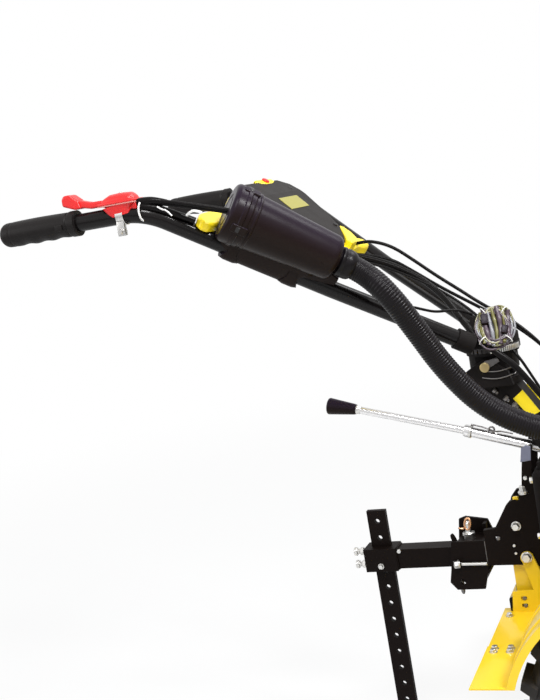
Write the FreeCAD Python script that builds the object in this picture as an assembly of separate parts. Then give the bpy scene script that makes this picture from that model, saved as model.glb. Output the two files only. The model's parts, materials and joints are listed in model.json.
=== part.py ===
import FreeCAD, Part
import math
import os

V = FreeCAD.Vector

# Walk-behind garden tiller. Millimetres, +X forward, +Y to the operator's left, +Z up.
# The origin is on the floor, midway along the machine, on its centre line.

# ---- driving dimensions --------------------------------------------------------------------
REAR_REACH = 925.0          # wheel axle to the ends of the grips
FRONT_REACH = 655.0         # wheel axle to the front of the bumper
AXLE_X = (REAR_REACH - FRONT_REACH) / 2.0
RUN_GAP = 0.4               # running clearance between turned fits
MOVE_GAP = 5.0              # air between pieces that move past each other
FAR = 1000.0                # reach of a cutting block beyond the machine

# wheels
TYRE_R = 200.0              # to the tips of the lugs
TYRE_W = 100.0
LUG_H = 12.0
LUG_COUNT = 20
LUG_T = 13.0
RIM_R = 102.0
RIM_T = 4.0
WHEEL_Y = 262.0             # centre plane of each wheel
AXLE_HEX = 32.0             # across flats
HUB_R = 30.0
HUB_LEN = 90.0

# gearbox and clutch housing
CRANK_Z = 430.0
LEG_W = 84.0
LEG_LEN = 150.0
CASE_W = 150.0
CASE_X0 = -175.0
CASE_X1 = 95.0
CASE_Z0 = 385.0
CASE_Z1 = 515.0
BELL_R = 92.0
BELL_LEN = 55.0
BELL_FLANGE = 100.0
CASE_EDGE = 9.0             # rounding of the castings' edges
HUB_BOSS_R = 42.0
HUB_BOSS_T = 22.0
COVER_T = 6.0
COVERS = ((0.0, 268.0, 33.0), (-70.0, 440.0, 46.0), (30.0, 452.0, 34.0))

# engine
BLOCK_LEN = 150.0
BLOCK_W = 190.0
BLOCK_Z0 = 330.0
BLOCK_Z1 = 545.0
SHROUD_R = 108.0
SHROUD_LEN = 48.0
STARTER_R = 80.0
STARTER_LEN = 34.0
CARB_X = 168.0
CARB_Y = -150.0
CARB_STUB = 18.0
CARB_IN_Z = 582.0
CYL_LEN = 95.0
CYL_W = 110.0
FIN_COUNT = 8
FIN_T = 3.0
HEAD_LEN = 34.0
TANK_LEN = 230.0
TANK_W = 290.0
TANK_H = 95.0
TANK_Z = 640.0
CAP_R = 36.0
CAP_H = 24.0
BLOCK_X0 = CASE_X1 + BELL_LEN

# bed, bumper and front stand
RAIL_W = 40.0
RAIL_H = 25.0
RAIL_Y = 85.0
RAIL_Z = 305.0
BUMPER_R = 13.0
BUMPER_W = 300.0
BUMPER_H = 210.0
STAND_R = 9.0
STAND_Y = 142.0
STAND_X = 350.0
STAND_LEAN = -6.0
STAND_BOSS_R = 17.0
STAND_BOSS_LEN = 14.0
STAND_FOLD = 75.0

# column, head and handlebar
COLUMN_X = -222.0
COLUMN_TOP = 668.0
COLUMN_R = 44.0
COLUMN_T = 13.0             # thickness of the column's top plate
COLUMN_W = 48.0
COLUMN_FOOT_T = 12.0
HEAD_W = 66.0
TILT_X = -229.0
TILT_RISE = 24.0
TILT_Z = COLUMN_TOP + TILT_RISE
TILT_PIN_R = 6.0
TILT_EAR_R = 12.0
TILT_EAR_T = 12.0
HEAD_BARREL_R = TILT_RISE - MOVE_GAP
FLANGE_T = 5.0
FLANGE_Z = TILT_Z + TILT_EAR_R + MOVE_GAP
TURN_Z = FLANGE_Z + FLANGE_T
RING_R = 47.0
RING_T = 10.0
RING_TEETH = 36
TOOTH = 3.0
YOKE_T = 14.0
YOKE_Z = TURN_Z + RUN_GAP + RING_T
KNOB_R = 17.0
KNOB_H = 32.0
TUBE_R = 14.0
TUBE_WALL = 2.5
TUBE_BEND = 95.0
GRIP_R = 21.0
GRIP_LEN = 146.0
HANDLE_Y = 310.0
HANDLE_Z = 1040.0
LEVER_RUN = 117.0           # straight tube between a grip and the bend
BAR_TOP_X = GRIP_LEN + LEVER_RUN - REAR_REACH
BAR_MID = (BAR_TOP_X + 232.0, 170.0, HANDLE_Z - 172.0)
BAR_END = (-240.0, 65.7, 734.8)
SLEEVE_LEN = 30.0
SLEEVE_WALL = 3.5

# console, air filter, hose and cables
CONSOLE_SEAT = 10.0         # underside of the console above the plane of the tubes
CONSOLE_RIM = 24.0          # height of the yellow tray
CONSOLE_LID = 24.0          # height of the panel on it
CONSOLE_S0 = 40.0           # along the fall of the tubes, from their bend
CONSOLE_S1 = 252.0
STRAP_S = (88.0, 194.0)
STRAP_T = 8.0
STRAP_W = 26.0
FILTER_R = 45.0
FILTER_R1 = 36.0
FILTER_CAP_LEN = 26.0
FILTER_LEN = 163.0
FILTER_LEAN = -0.022         # the canister's lower end stands off the tube a little
FILTER_S = 120.0            # start of the filter along the tube, from its bend
FILTER_OFF = (38.0, -21.8, 43.6)
SADDLE_S = (150.0, 252.0)    # the two clamps of the filter's saddle, along the tube
RIB_END = 292.0             # where the saddle's rib runs out
OUTLET_R = 20.0
OUTLET_LEN = 22.0
HOSE_R = 18.0
HOSE_BEND = 90.0
HOSE_SPLIT_RUN = 4
CABLE_R = 3.0
CABLE_IN_Z = 532.0
JOIN = 0.3                  # seam between pieces of one body that meet

# hitch, drawbar and drag stake
HITCH_X = -311.0
HITCH_FRONT = -276.0
HITCH_REAR = -343.0
HITCH_Z0 = 303.0
HITCH_Z1 = 414.0
HITCH_Z_NEAR = 390.0        # the right-hand cheek is cut down so that the pin can be reached
HITCH_W = 71.0
HITCH_T = 6.0
HITCH_PIN_R = 8.0
HITCH_PIN_UP = 32.0
HITCH_COLLAR_H = 16.0
HITCH_CROSS_R = 5.0
GEAR_PIN_R = 4.0
GEAR_PIN_Z = CASE_Z1 + 27.0
PLATE_Y = 28.0
PLATE_T = 10.0
DRAWBAR = 36.0
DRAWBAR_Z = 357.0
STAKE_X = -473.0
STAKE_W = 35.0
STAKE_T = 10.0
STAKE_LEN = 415.0
STAKE_Z0 = 30.0
STAKE_PITCH = 31.0
STAKE_TOP_HOLE = 20.0
STAKE_HOLE_R = 4.5
CLAMP_LEN = 60.0
CLAMP_W = 42.0
CLAMP_BOLT_R = 4.0
CLAMP_BOLT_LEN = 23.0
CLAMP_BOLT_Z = 12.0

# fenders
FENDER_R = TYRE_R + 16.0
FENDER_T = 2.5
FENDER_W = 150.0
FENDER_LIP = 12.0
FENDER_FRONT = 40.0         # angle of the front end above straight ahead
STAY_T = 4.0
SHELF_Z = 263.0
SHELF_X0 = -262.0
SHELF_X1 = -150.0

PARTS = {}


def keep(name, shape):
    """One named sub-part, placed from the wheel axle: X from the axle, Z from the floor."""
    PARTS[name] = shape


def mirrored(shape):
    """The same piece on the other side of the centre plane."""
    return shape.mirror(V(0, 0, 0), V(0, 1, 0))


def both(name, right):
    """A right-hand piece and its left-hand mirror image, each its own node."""
    keep(name + "_right", right)
    keep(name + "_left", mirrored(right))


def box(x0, x1, y0, y1, z0, z1):
    return Part.makeBox(x1 - x0, y1 - y0, z1 - z0, V(x0, y0, z0))


def cyl(a, b, r):
    """Round bar from point a to point b."""
    a, b = V(*a), V(*b)
    return Part.makeCylinder(r, (b - a).Length, a, b - a)


def ring(a, b, r_out, r_in):
    return cyl(a, b, r_out).cut(cyl(a, b, r_in))


def cone(a, b, r0, r1):
    a, b = V(*a), V(*b)
    return Part.makeCone(r0, r1, (b - a).Length, a, b - a)


def bent_path(points, radius):
    """Straight runs joined by tangent arcs of one radius, or as large as the shorter run allows."""
    pts = [V(*p) for p in points]
    edges, start = [], pts[0]
    for before, corner, after in zip(pts, pts[1:], pts[2:]):
        u, w = (before - corner), (after - corner)
        turn = math.pi - u.getAngle(w)
        reach = min(radius * math.tan(turn / 2), 0.45 * u.Length, 0.45 * w.Length)
        r = reach / math.tan(turn / 2)
        u.normalize()
        w.normalize()
        p0, p2 = corner + u * reach, corner + w * reach
        bisector = (u + w).normalize()
        mid = corner + bisector * (r / math.cos(turn / 2) - r)
        if (p0 - start).Length > 1e-3:
            edges.append(Part.LineSegment(start, p0).toShape())
        edges.append(Part.Arc(p0, mid, p2).toShape())
        start = p2
    edges.append(Part.LineSegment(start, pts[-1]).toShape())
    return Part.Wire(edges)


def along(a, b, distance):
    """The point at a distance from a towards b."""
    a, b = V(*a), V(*b)
    return a + (b - a).normalize() * distance


def bar(points, r, radius):
    """A round bar or tube's outside along a bent path."""
    path = bent_path(points, radius)
    start, nxt = V(*points[0]), V(*points[1])
    profile = Part.Wire(Part.Circle(start, nxt - start, r).toShape())
    return path.makePipeShell([profile], True, False)


def prism(outline, axis, depth):
    """A flat outline pushed along a vector."""
    return Part.Face(Part.makePolygon([V(*p) for p in outline + outline[:1]])).extrude(V(*axis) * depth)


def hexagon(flats, x, y0, y1, z):
    r = flats / math.sqrt(3)
    pts = [(x + r * math.cos(math.radians(a)), y0, z + r * math.sin(math.radians(a))) for a in range(0, 360, 60)]
    return prism(pts, (0, 1, 0), y1 - y0)


# ---- wheels --------------------------------------------------------------------------------
def tyre(y):
    """Carcass turned about the axle with paired chevron lugs fused on it."""
    body_r = TYRE_R - LUG_H
    half = TYRE_W / 2
    section = [(RIM_R + 0.3, y - 34), (RIM_R + 30, y - half + 2), (body_r - 34, y - half + 1), (body_r - 10, y - half + 12),
               (body_r, y - 20), (body_r, y + 20), (body_r - 10, y + half - 12), (body_r - 34, y + half - 1),
               (RIM_R + 30, y + half - 2), (RIM_R + 0.3, y + 34)]
    face = Part.Face(Part.makePolygon([V(r, s, 0) for r, s in section + section[:1]]))
    carcass = face.revolve(V(0, 0, 0), V(0, 1, 0), 360)
    lugs = []
    for side in (-1, 1):
        for i in range(LUG_COUNT):
            angle = 360.0 / LUG_COUNT * (i + (0.5 if side > 0 else 0.0))
            lean = 26.0 * side
            c = body_r - 14
            edge = y + side * half
            pts = [(c, y + side * 2, -LUG_T), (c, y + side * 2, LUG_T * 0.2), (c, edge, LUG_T * 1.9), (c, edge, LUG_T * 0.6)]
            lug = prism(pts, (1, 0, 0), 14 + LUG_H)
            top = Part.makeCylinder(TYRE_R, TYRE_W, V(0, y - half, 0), V(0, 1, 0))
            lug = lug.common(top)
            shoulder = prism([(body_r - 30, edge + side * 1.0, -60), (TYRE_R + 5, edge + side * 1.0, -60),
                              (TYRE_R + 5, edge - side * 16, -60)], (0, 0, 1), 120)
            lug = lug.cut(shoulder)
            lug.rotate(V(0, 0, 0), V(0, 1, 0), angle)
            lugs.append(lug)
    solid = carcass.multiFuse(lugs).removeSplitter()
    solid.translate(V(0, 0, TYRE_R))
    return solid


def rim(y, side):
    """Pressed rim with a dished disc, on a hub with a hexagonal bore."""
    wide = 34.0
    outer = [(RIM_R, y - wide), (RIM_R, y + wide), (RIM_R - RIM_T, y + wide), (RIM_R - 22, y + wide - 16),
             (RIM_R - 22, y - wide + 16), (RIM_R - RIM_T, y - wide)]
    inner = [(RIM_R - RIM_T - 3, y - wide), (RIM_R - 25, y - wide + 15), (RIM_R - 25, y + wide - 15),
             (RIM_R - RIM_T - 3, y + wide)]
    profile = [(RIM_R, y - wide), (RIM_R, y + wide), (RIM_R - 7, y + wide), (RIM_R - 25, y + wide - 15),
               (RIM_R - 25, y - wide + 15), (RIM_R - 7, y - wide)]
    face = Part.Face(Part.makePolygon([V(r, s, 0) for r, s in profile + profile[:1]]))
    band = face.revolve(V(0, 0, 0), V(0, 1, 0), 360)
    d = y + side * 4
    disc = cyl((0, d - 3, 0), (0, d + 3, 0), RIM_R - 24)
    hub = cyl((0, y - HUB_LEN / 2 - side * 8, 0), (0, y + HUB_LEN / 2 - side * 8, 0), HUB_R)
    solid = band.fuse([disc, hub])
    for i in range(5):
        a = math.radians(72 * i)
        c = (56 * math.cos(a), 56 * math.sin(a))
        solid = solid.cut(cyl((c[0], d - 10, c[1]), (c[0], d + 10, c[1]), 13))
    solid = solid.cut(hexagon(AXLE_HEX + RUN_GAP, 0, y - 80, y + 80, 0))
    solid.translate(V(0, 0, TYRE_R))
    return solid


def wheels():
    for side, tag in ((-1, "right"), (1, "left")):
        keep("tyre_" + tag, tyre(side * WHEEL_Y))
        keep("rim_" + tag, rim(side * WHEEL_Y, side))
    reach = WHEEL_Y + HUB_LEN / 2 - 8
    shaft = hexagon(AXLE_HEX, 0, -reach, reach, TYRE_R)
    keep("axle_shaft", shaft)


# ---- gearbox -------------------------------------------------------------------------------
def rounded(x0, x1, y0, y1, z0, z1, r):
    """A block with all its edges rounded."""
    block = box(x0, x1, y0, y1, z0, z1)
    return block.makeFillet(r, block.Edges)


def gearbox():
    half = LEG_LEN / 2
    leg = box(-half, half, -LEG_W / 2, LEG_W / 2, TYRE_R, CASE_Z0 + CASE_EDGE + 5)
    leg = leg.fuse(cyl((0, -LEG_W / 2, TYRE_R), (0, LEG_W / 2, TYRE_R), half))
    case = rounded(CASE_X0, CASE_X1, -CASE_W / 2, CASE_W / 2, CASE_Z0, CASE_Z1, CASE_EDGE)
    reach = LEG_W / 2 + HUB_BOSS_T
    boss = cyl((0, -reach, TYRE_R), (0, reach, TYRE_R), HUB_BOSS_R)
    bell = cone((CASE_X1 - CASE_EDGE, 0, CRANK_Z), (BLOCK_X0 - 8, 0, CRANK_Z), 68, BELL_R)
    flange = cyl((BLOCK_X0 - 8, 0, CRANK_Z), (BLOCK_X0, 0, CRANK_Z), BELL_FLANGE)
    forms = [case, boss, bell, flange]
    for x, z, r in COVERS:
        wide = (CASE_W if z > CASE_Z0 else LEG_W) / 2 + COVER_T
        forms.append(cyl((x, -wide, z), (x, wide, z), r))
    for x in (-half, half - 10):
        forms.append(box(x, x + 10, -LEG_W / 2 - 4, LEG_W / 2 + 4, TYRE_R + 40, CASE_Z0 + CASE_EDGE))
    solid = leg.fuse(forms).removeSplitter()
    bore = cyl((0, -WHEEL_Y, TYRE_R), (0, WHEEL_Y, TYRE_R), AXLE_HEX / math.sqrt(3) + RUN_GAP)
    keep("gearbox_case", solid.cut(bore))


# ---- engine --------------------------------------------------------------------------------
def engine():
    x0 = BLOCK_X0
    x1 = x0 + BLOCK_LEN
    xm = (x0 + x1) / 2
    wide = BLOCK_W / 2
    block = rounded(x0, x1, -wide, wide, BLOCK_Z0 + 8, BLOCK_Z1, 14).fuse([
        box(x0, x1, -wide, wide, BLOCK_Z0 + 8, BLOCK_Z0 + 40), box(x0, x1, -wide - 12, wide + 12, BLOCK_Z0, BLOCK_Z0 + 10),
        cyl((x0, 0, CRANK_Z), (x0 + 20, 0, CRANK_Z), BELL_R - 2), cyl((xm - 40, wide - 20, 360), (xm - 40, wide + 16, 372), 13)])
    keep("engine_block", block)
    fan_z = CRANK_Z + 10
    zc = CRANK_Z + 55
    y_head = -wide - CYL_LEN
    shroud = cyl((x1, 0, fan_z), (x1 + SHROUD_LEN, 0, fan_z), SHROUD_R)
    duct = prism([(x1, 0, fan_z + SHROUD_R - 1), (x1, y_head + 30, zc + CYL_W / 2 + 8), (x1, y_head, zc + CYL_W / 2 - 15),
                  (x1, y_head, zc - 20), (x1, -40, fan_z - SHROUD_R + 8)], (1, 0, 0), SHROUD_LEN - 6)
    lip = cyl((x1 + SHROUD_LEN, 0, fan_z), (x1 + SHROUD_LEN + 4, 0, fan_z), STARTER_R + 8)
    keep("fan_shroud", shroud.fuse([duct, lip]))
    s0 = x1 + SHROUD_LEN + 4
    s1 = s0 + STARTER_LEN - 4
    starter = cyl((s0, 0, fan_z), (s1 - 12, 0, fan_z), STARTER_R).fuse(
        [cone((s1 - 12, 0, fan_z), (s1, 0, fan_z), STARTER_R, STARTER_R - 16)])
    slots = []
    for i in range(16):
        slot = box(s1 - 4, s1 + 4, -3.5, 3.5, STARTER_R * 0.38, STARTER_R * 0.76)
        slot.rotate(V(0, 0, 0), V(1, 0, 0), 22.5 * i)
        slot.translate(V(0, 0, fan_z))
        slots.append(slot)
    starter = starter.cut(Part.makeCompound(slots))
    mouth = cyl((s0 + 12, -40, fan_z + STARTER_R - 16), (s0 + 12, -70, fan_z + STARTER_R + 6), 8)
    pull = cyl((s0 + 3, -72, fan_z + STARTER_R + 8), (s0 + 47, -72, fan_z + STARTER_R + 8), 8)
    keep("recoil_starter", starter.fuse([mouth, pull]))
    y0 = -wide
    half = CYL_W / 2
    core = box(xm - half + 8, xm + half - 8, y0 - CYL_LEN, y0, zc - half + 8, zc + half - 8)
    fins = [box(xm - half, xm + half, y0 - 10 - i * 11 - FIN_T, y0 - 10 - i * 11, zc - half, zc + half)
            for i in range(FIN_COUNT)]
    keep("cylinder", core.fuse(fins))
    cover = rounded(xm - 42, xm + 42, y_head - HEAD_LEN, y_head + 6, zc - 38, zc + 38, 6).cut(
        box(xm - half, xm + half, y_head, y_head + 20, zc - half, zc + half))
    ribs = [box(xm - 30, xm + 30, y_head - HEAD_LEN - 3, y_head - HEAD_LEN + 2, zc + dz - 3, zc + dz + 3) for dz in (-20, 0, 20)]
    keep("valve_cover", cover.fuse(ribs))
    tank = box(xm - TANK_LEN / 2 + 20, xm + TANK_LEN / 2 + 20, -TANK_W / 2 + 20, TANK_W / 2 + 20, TANK_Z, TANK_Z + TANK_H)
    tank = tank.makeFillet(26, tank.Edges)
    seam_z = TANK_Z + TANK_H * 0.45
    seam = box(xm - TANK_LEN / 2 + 15, xm + TANK_LEN / 2 + 25, -TANK_W / 2 + 15, TANK_W / 2 + 25, seam_z, seam_z + 4)
    seam = seam.makeFillet(28, [e for e in seam.Edges if abs(e.Length - 4) < 0.1])
    keep("fuel_tank", tank.fuse(seam))
    cap_z = TANK_Z + TANK_H
    cap = cyl((xm + 60, 20, cap_z), (xm + 60, 20, cap_z + CAP_H), CAP_R)
    grips = [cyl((xm + 60 + CAP_R * math.cos(a), 20 + CAP_R * math.sin(a), cap_z - 1),
                 (xm + 60 + CAP_R * math.cos(a), 20 + CAP_R * math.sin(a), cap_z + CAP_H + 1), 4)
             for a in [math.radians(30 * i) for i in range(12)]]
    keep("fuel_cap", cap.cut(Part.makeCompound(grips)))
    carb = rounded(CARB_X, CARB_X + 60, CARB_Y - 26, CARB_Y + 26, CARB_IN_Z - 31, CARB_IN_Z + 22, 5)
    throat = cyl((CARB_X - CARB_STUB, CARB_Y, CARB_IN_Z), (CARB_X + 10, CARB_Y, CARB_IN_Z), HOSE_R)
    port = box(CARB_X + 20, CARB_X + 44, CARB_Y - 18, CARB_Y + 18, zc + half, CARB_IN_Z - 26)
    keep("carburettor", carb.fuse([throat, port, cyl((CARB_X + 60, CARB_Y, CARB_IN_Z - 4), (CARB_X + 72, CARB_Y, CARB_IN_Z - 4), 14)]))
    legs = [box(xm - 70 + 125 * i, xm - 50 + 125 * i, -60 + 110 * j, -40 + 110 * j, BLOCK_Z1, TANK_Z - 1)
            for i in (0, 1) for j in (0, 1)]
    keep("tank_bracket", legs[0].fuse(legs[1:] + [box(xm - 75, xm + 80, -65, 75, TANK_Z - 4, TANK_Z)]))
    m0 = wide + 6
    muffler = box(xm - 95, xm + 95, m0, m0 + 88, CRANK_Z + 40, CRANK_Z + 165)
    muffler = muffler.makeFillet(20, muffler.Edges)
    pipe = box(xm - 20, xm + 20, wide, wide + 30, CRANK_Z + 60, CRANK_Z + 100)
    guard = box(xm - 82, xm + 82, m0 + 98, m0 + 101, CRANK_Z + 48, CRANK_Z + 157)
    louvres = [box(xm - 70, xm + 70, m0 + 90, m0 + 110, CRANK_Z + 60 + 17 * i, CRANK_Z + 69 + 17 * i) for i in range(6)]
    posts = [cyl((xm + sx * 74, m0 + 80, CRANK_Z + 102 + sz * 46), (xm + sx * 74, m0 + 99, CRANK_Z + 102 + sz * 46), 6)
             for sx in (-1, 1) for sz in (-1, 1)]
    outlet = cyl((xm + 60, m0 + 44, CRANK_Z + 60), (xm + 60, m0 + 44, CRANK_Z + 20), 14)
    guard = guard.cut(Part.makeCompound(louvres))
    keep("muffler", muffler.fuse([pipe, outlet, guard] + posts))


# ---- engine bed, bumper and stand ----------------------------------------------------------
def bed():
    x0, x1 = CASE_X0 + 130, CASE_X1 + BELL_LEN + BLOCK_LEN + 100
    rail = box(x0, x1, -RAIL_Y - RAIL_W / 2, -RAIL_Y + RAIL_W / 2, RAIL_Z, RAIL_Z + RAIL_H)
    cross = box(x1 - 40, x1, -RAIL_Y, RAIL_Y, RAIL_Z, RAIL_Z + RAIL_H)
    web = box(x0, x0 + 30, -RAIL_Y, RAIL_Y, RAIL_Z, RAIL_Z + RAIL_H).cut(box(-LEG_LEN, LEG_LEN, -LEG_W / 2, LEG_W / 2, 0, FAR))
    w = BUMPER_W / 2
    z = RAIL_Z + RAIL_H / 2
    side = RAIL_Y + RAIL_W / 2
    boss = cyl((STAND_X, -side, z), (STAND_X, -side - STAND_BOSS_LEN, z), STAND_BOSS_R)
    bore = cyl((STAND_X, -side + 8, z), (STAND_X, -side - STAND_BOSS_LEN, z), STAND_R + RUN_GAP)
    rail = rail.fuse(boss).cut(bore)
    keep("engine_bed", rail.fuse([mirrored(rail), cross, web]))
    front = FRONT_REACH - BUMPER_R
    loop = bar([(x1 - 5, -RAIL_Y, z), (front, -RAIL_Y - 20, z), (front, -w, z + 60), (front, -w, z + BUMPER_H),
                (front, w, z + BUMPER_H), (front, w, z + 60), (front, RAIL_Y + 20, z), (x1 - 5, RAIL_Y, z)], BUMPER_R, 45)
    loop = loop.cut(box(x1 - 60, x1, -200, 200, 0, FAR))
    keep("front_bumper", loop)


def front_stand():
    """A bent bar whose ends turn in to the bosses on the bed's rails."""
    pivot_z = RAIL_Z + RAIL_H / 2
    inner = RAIL_Y + RAIL_W / 2 - 8 + RUN_GAP
    lean = math.tan(math.radians(STAND_LEAN)) * (pivot_z - STAND_R)
    route = [(STAND_X, -inner, pivot_z), (STAND_X, -STAND_Y, pivot_z), (STAND_X + lean, -STAND_Y, STAND_R),
             (STAND_X + lean, STAND_Y, STAND_R), (STAND_X, STAND_Y, pivot_z), (STAND_X, inner, pivot_z)]
    keep("front_stand", bar(route, STAND_R, STAND_R + 4))


# ---- column and head -----------------------------------------------------------------------
def column():
    """Leaning column with a round top plate and two ears that carry the tilt pin."""
    w = COLUMN_W / 2
    under = COLUMN_TOP - COLUMN_T
    top = cyl((COLUMN_X, 0, under), (COLUMN_X, 0, COLUMN_TOP), COLUMN_R)
    arm = prism([(COLUMN_X - 40, -w, under + 2), (COLUMN_X + 30, -w, under + 8), (COLUMN_X + 36, -w, under), (-100, -w, CASE_Z1),
                 (-146, -w, CASE_Z1), (COLUMN_X, -w, under - 27)], (0, 1, 0), COLUMN_W)
    foot = box(-166, -30, -60, 60, CASE_Z1, CASE_Z1 + COLUMN_FOOT_T)
    inner = HEAD_W / 2 + RUN_GAP
    ear = prism([(TILT_X - 34, inner, under + 2), (TILT_X + 42, inner, under + 2), (TILT_X + 36, inner, TILT_Z - 12),
                 (TILT_X + TILT_EAR_R, inner, TILT_Z + 7), (TILT_X - TILT_EAR_R, inner, TILT_Z + 7), (TILT_X - 34, inner, TILT_Z - 6)],
                (0, 1, 0), TILT_EAR_T)
    ear = ear.fuse(cyl((TILT_X, inner, TILT_Z), (TILT_X, inner + TILT_EAR_T, TILT_Z), TILT_EAR_R))
    pin = cyl((TILT_X, -FAR, TILT_Z), (TILT_X, FAR, TILT_Z), TILT_PIN_R + JOIN / 2)
    keep("column_base", top.fuse([arm, foot, ear, mirrored(ear)]).cut(pin))
    outer = inner + TILT_EAR_T
    bolt = cyl((TILT_X, -outer, TILT_Z), (TILT_X, outer, TILT_Z), TILT_PIN_R)
    cap = cyl((TILT_X, -outer - 7, TILT_Z), (TILT_X, -outer, TILT_Z), 8)
    keep("tilt_bolt", bolt.fuse([cap, mirrored(cap)]))
    barrel = cyl((TILT_X, -HEAD_W / 2, TILT_Z), (TILT_X, HEAD_W / 2, TILT_Z), HEAD_BARREL_R)
    cup = cyl((COLUMN_X, 0, COLUMN_TOP + 13), (COLUMN_X, 0, FLANGE_Z), COLUMN_R - 3)
    cup = cup.common(box(-FAR, FAR, -HEAD_W / 2, HEAD_W / 2, 0, FAR))
    flange = cyl((COLUMN_X, 0, FLANGE_Z), (COLUMN_X, 0, TURN_Z), COLUMN_R)
    bore = cyl((TILT_X, -FAR, TILT_Z), (TILT_X, FAR, TILT_Z), TILT_PIN_R + RUN_GAP)
    keep("column_head", barrel.fuse([cup, flange]).cut(bore))
    z0 = TURN_Z + RUN_GAP
    ring_disc = cyl((COLUMN_X, 0, z0), (COLUMN_X, 0, z0 + RING_T), RING_R)
    notches = []
    for i in range(RING_TEETH):
        notch = box(RING_R - TOOTH, RING_R + 5, -TOOTH / 2, TOOTH / 2, z0 - 1, z0 + RING_T - 3)
        notch.rotate(V(0, 0, 0), V(0, 0, 1), 360.0 / RING_TEETH * i)
        notch.translate(V(COLUMN_X, 0, 0))
        notches.append(notch)
    keep("serrated_ring", ring_disc.cut(Part.makeCompound(notches)))


def handlebar():
    right = [(-REAR_REACH + 8, -HANDLE_Y, HANDLE_Z), (BAR_TOP_X, -HANDLE_Y, HANDLE_Z),
             (BAR_MID[0], -BAR_MID[1], BAR_MID[2]), (BAR_END[0], -BAR_END[1], BAR_END[2])]
    tube = bar(right, TUBE_R, TUBE_BEND).cut(bar(right, TUBE_R - TUBE_WALL, TUBE_BEND))
    both("handle_tube", tube)
    grip = cyl((-REAR_REACH + GRIP_R, -HANDLE_Y, HANDLE_Z), (-REAR_REACH + GRIP_LEN, -HANDLE_Y, HANDLE_Z), GRIP_R)
    grip = grip.fuse(Part.makeSphere(GRIP_R, V(-REAR_REACH + GRIP_R, -HANDLE_Y, HANDLE_Z)))
    grip = grip.cut(cyl((-REAR_REACH + 8, -HANDLE_Y, HANDLE_Z), (0, -HANDLE_Y, HANDLE_Z), TUBE_R))
    both("grip", grip)
    end = V(BAR_END[0], -BAR_END[1], BAR_END[2])
    mid = V(BAR_MID[0], -BAR_MID[1], BAR_MID[2])
    back = end + (mid - end).normalize() * SLEEVE_LEN
    sleeve = cyl(tuple(end), tuple(back), TUBE_R + SLEEVE_WALL)
    bore = cyl(tuple(end), tuple(back), TUBE_R)
    top = YOKE_Z + YOKE_T
    plate = cyl((COLUMN_X, 0, YOKE_Z), (COLUMN_X, 0, top), RING_R - 1)
    web = prism([(COLUMN_X + 5, -RING_R - 8, YOKE_Z), (COLUMN_X - 34, -RING_R - 8, YOKE_Z), (COLUMN_X - 34, RING_R + 8, YOKE_Z),
                 (COLUMN_X + 5, RING_R + 8, YOKE_Z)], (0, 0, 1), YOKE_T)
    yoke = plate.fuse([web, sleeve, mirrored(sleeve)]).cut(bore).cut(mirrored(bore))
    keep("yoke", yoke)
    boss = cyl((COLUMN_X, 0, top), (COLUMN_X, 0, top + KNOB_H - 18), KNOB_R - 4)
    knob = cyl((COLUMN_X, 0, top + KNOB_H - 18), (COLUMN_X, 0, top + KNOB_H), KNOB_R)
    keep("lock_knob", boss.fuse(knob))
    loops = Part.makeTorus(38, 6, V(COLUMN_X + 17, -23, top + 30.3), V(0.1, -0.68, 0.73))
    keep("wire_bundle", loops)


def tube_frame():
    """Down the tubes in the middle plane, and square to them, upwards; the origin is at their bend."""
    mid = V(*BAR_MID)
    fall = V(mid.x - BAR_TOP_X, 0, mid.z - HANDLE_Z).normalize()
    return V(BAR_TOP_X, 0, HANDLE_Z), fall, V(-fall.z, 0, fall.x)


def tilted(outline, h0, h1):
    """A plan outline of (down the tubes, across) points, between two heights above the tubes."""
    origin, fall, up = tube_frame()
    pts = [origin + fall * s + V(0, y, 0) + up * h0 for s, y in outline]
    return Part.Face(Part.makePolygon(pts + pts[:1])).extrude(up * (h1 - h0))


def handle_solid(side):
    points = [(-REAR_REACH + 8, side * HANDLE_Y, HANDLE_Z), (BAR_TOP_X, side * HANDLE_Y, HANDLE_Z),
              (BAR_MID[0], side * BAR_MID[1], BAR_MID[2]), (BAR_END[0], side * BAR_END[1], BAR_END[2])]
    return bar(points, TUBE_R, TUBE_BEND)


def console():
    tubes = handle_solid(-1).fuse(handle_solid(1))
    straps = []
    for s in STRAP_S:
        half = HANDLE_Y
        wide = [(s - STRAP_W / 2, -half), (s + STRAP_W / 2, -half), (s + STRAP_W / 2, half), (s - STRAP_W / 2, half)]
        strap = tilted(wide, CONSOLE_SEAT - STRAP_T, CONSOLE_SEAT).cut(tubes)
        strap = max(strap.Solids, key=lambda piece: piece.Volume)
        straps.append(strap)
    keep("console_straps", Part.makeCompound(straps))
    tray = [(CONSOLE_S0, 92), (60, 106), (100, 104), (160, 84), (205, 66), (222, 84), (240, 113), (CONSOLE_S1 + 6, 104), (CONSOLE_S1 + 6, 74), (CONSOLE_S1, 62)]
    tray = tray + [(s, -y) for s, y in reversed(tray)]
    keep("console_tray", tilted(tray, CONSOLE_SEAT, CONSOLE_SEAT + CONSOLE_RIM))
    lid = [(CONSOLE_S0 + 10, 86), (68, 111), (104, 111), (160, 88), (215, 54), (238, 25)]
    lid = lid + [(s, -y) for s, y in reversed(lid)]
    base = CONSOLE_SEAT + CONSOLE_RIM
    origin, fall, up = tube_frame()
    slope = [origin + fall * s + up * h + V(0, -FAR, 0) for s, h in ((92, base + CONSOLE_LID), (FAR, base + CONSOLE_LID), (FAR, base), (236, base + 7))]
    slope = Part.Face(Part.makePolygon(slope + slope[:1])).extrude(V(0, 2 * FAR, 0))
    keep("console_lid", tilted(lid, base, base + CONSOLE_LID).cut(slope))


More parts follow.
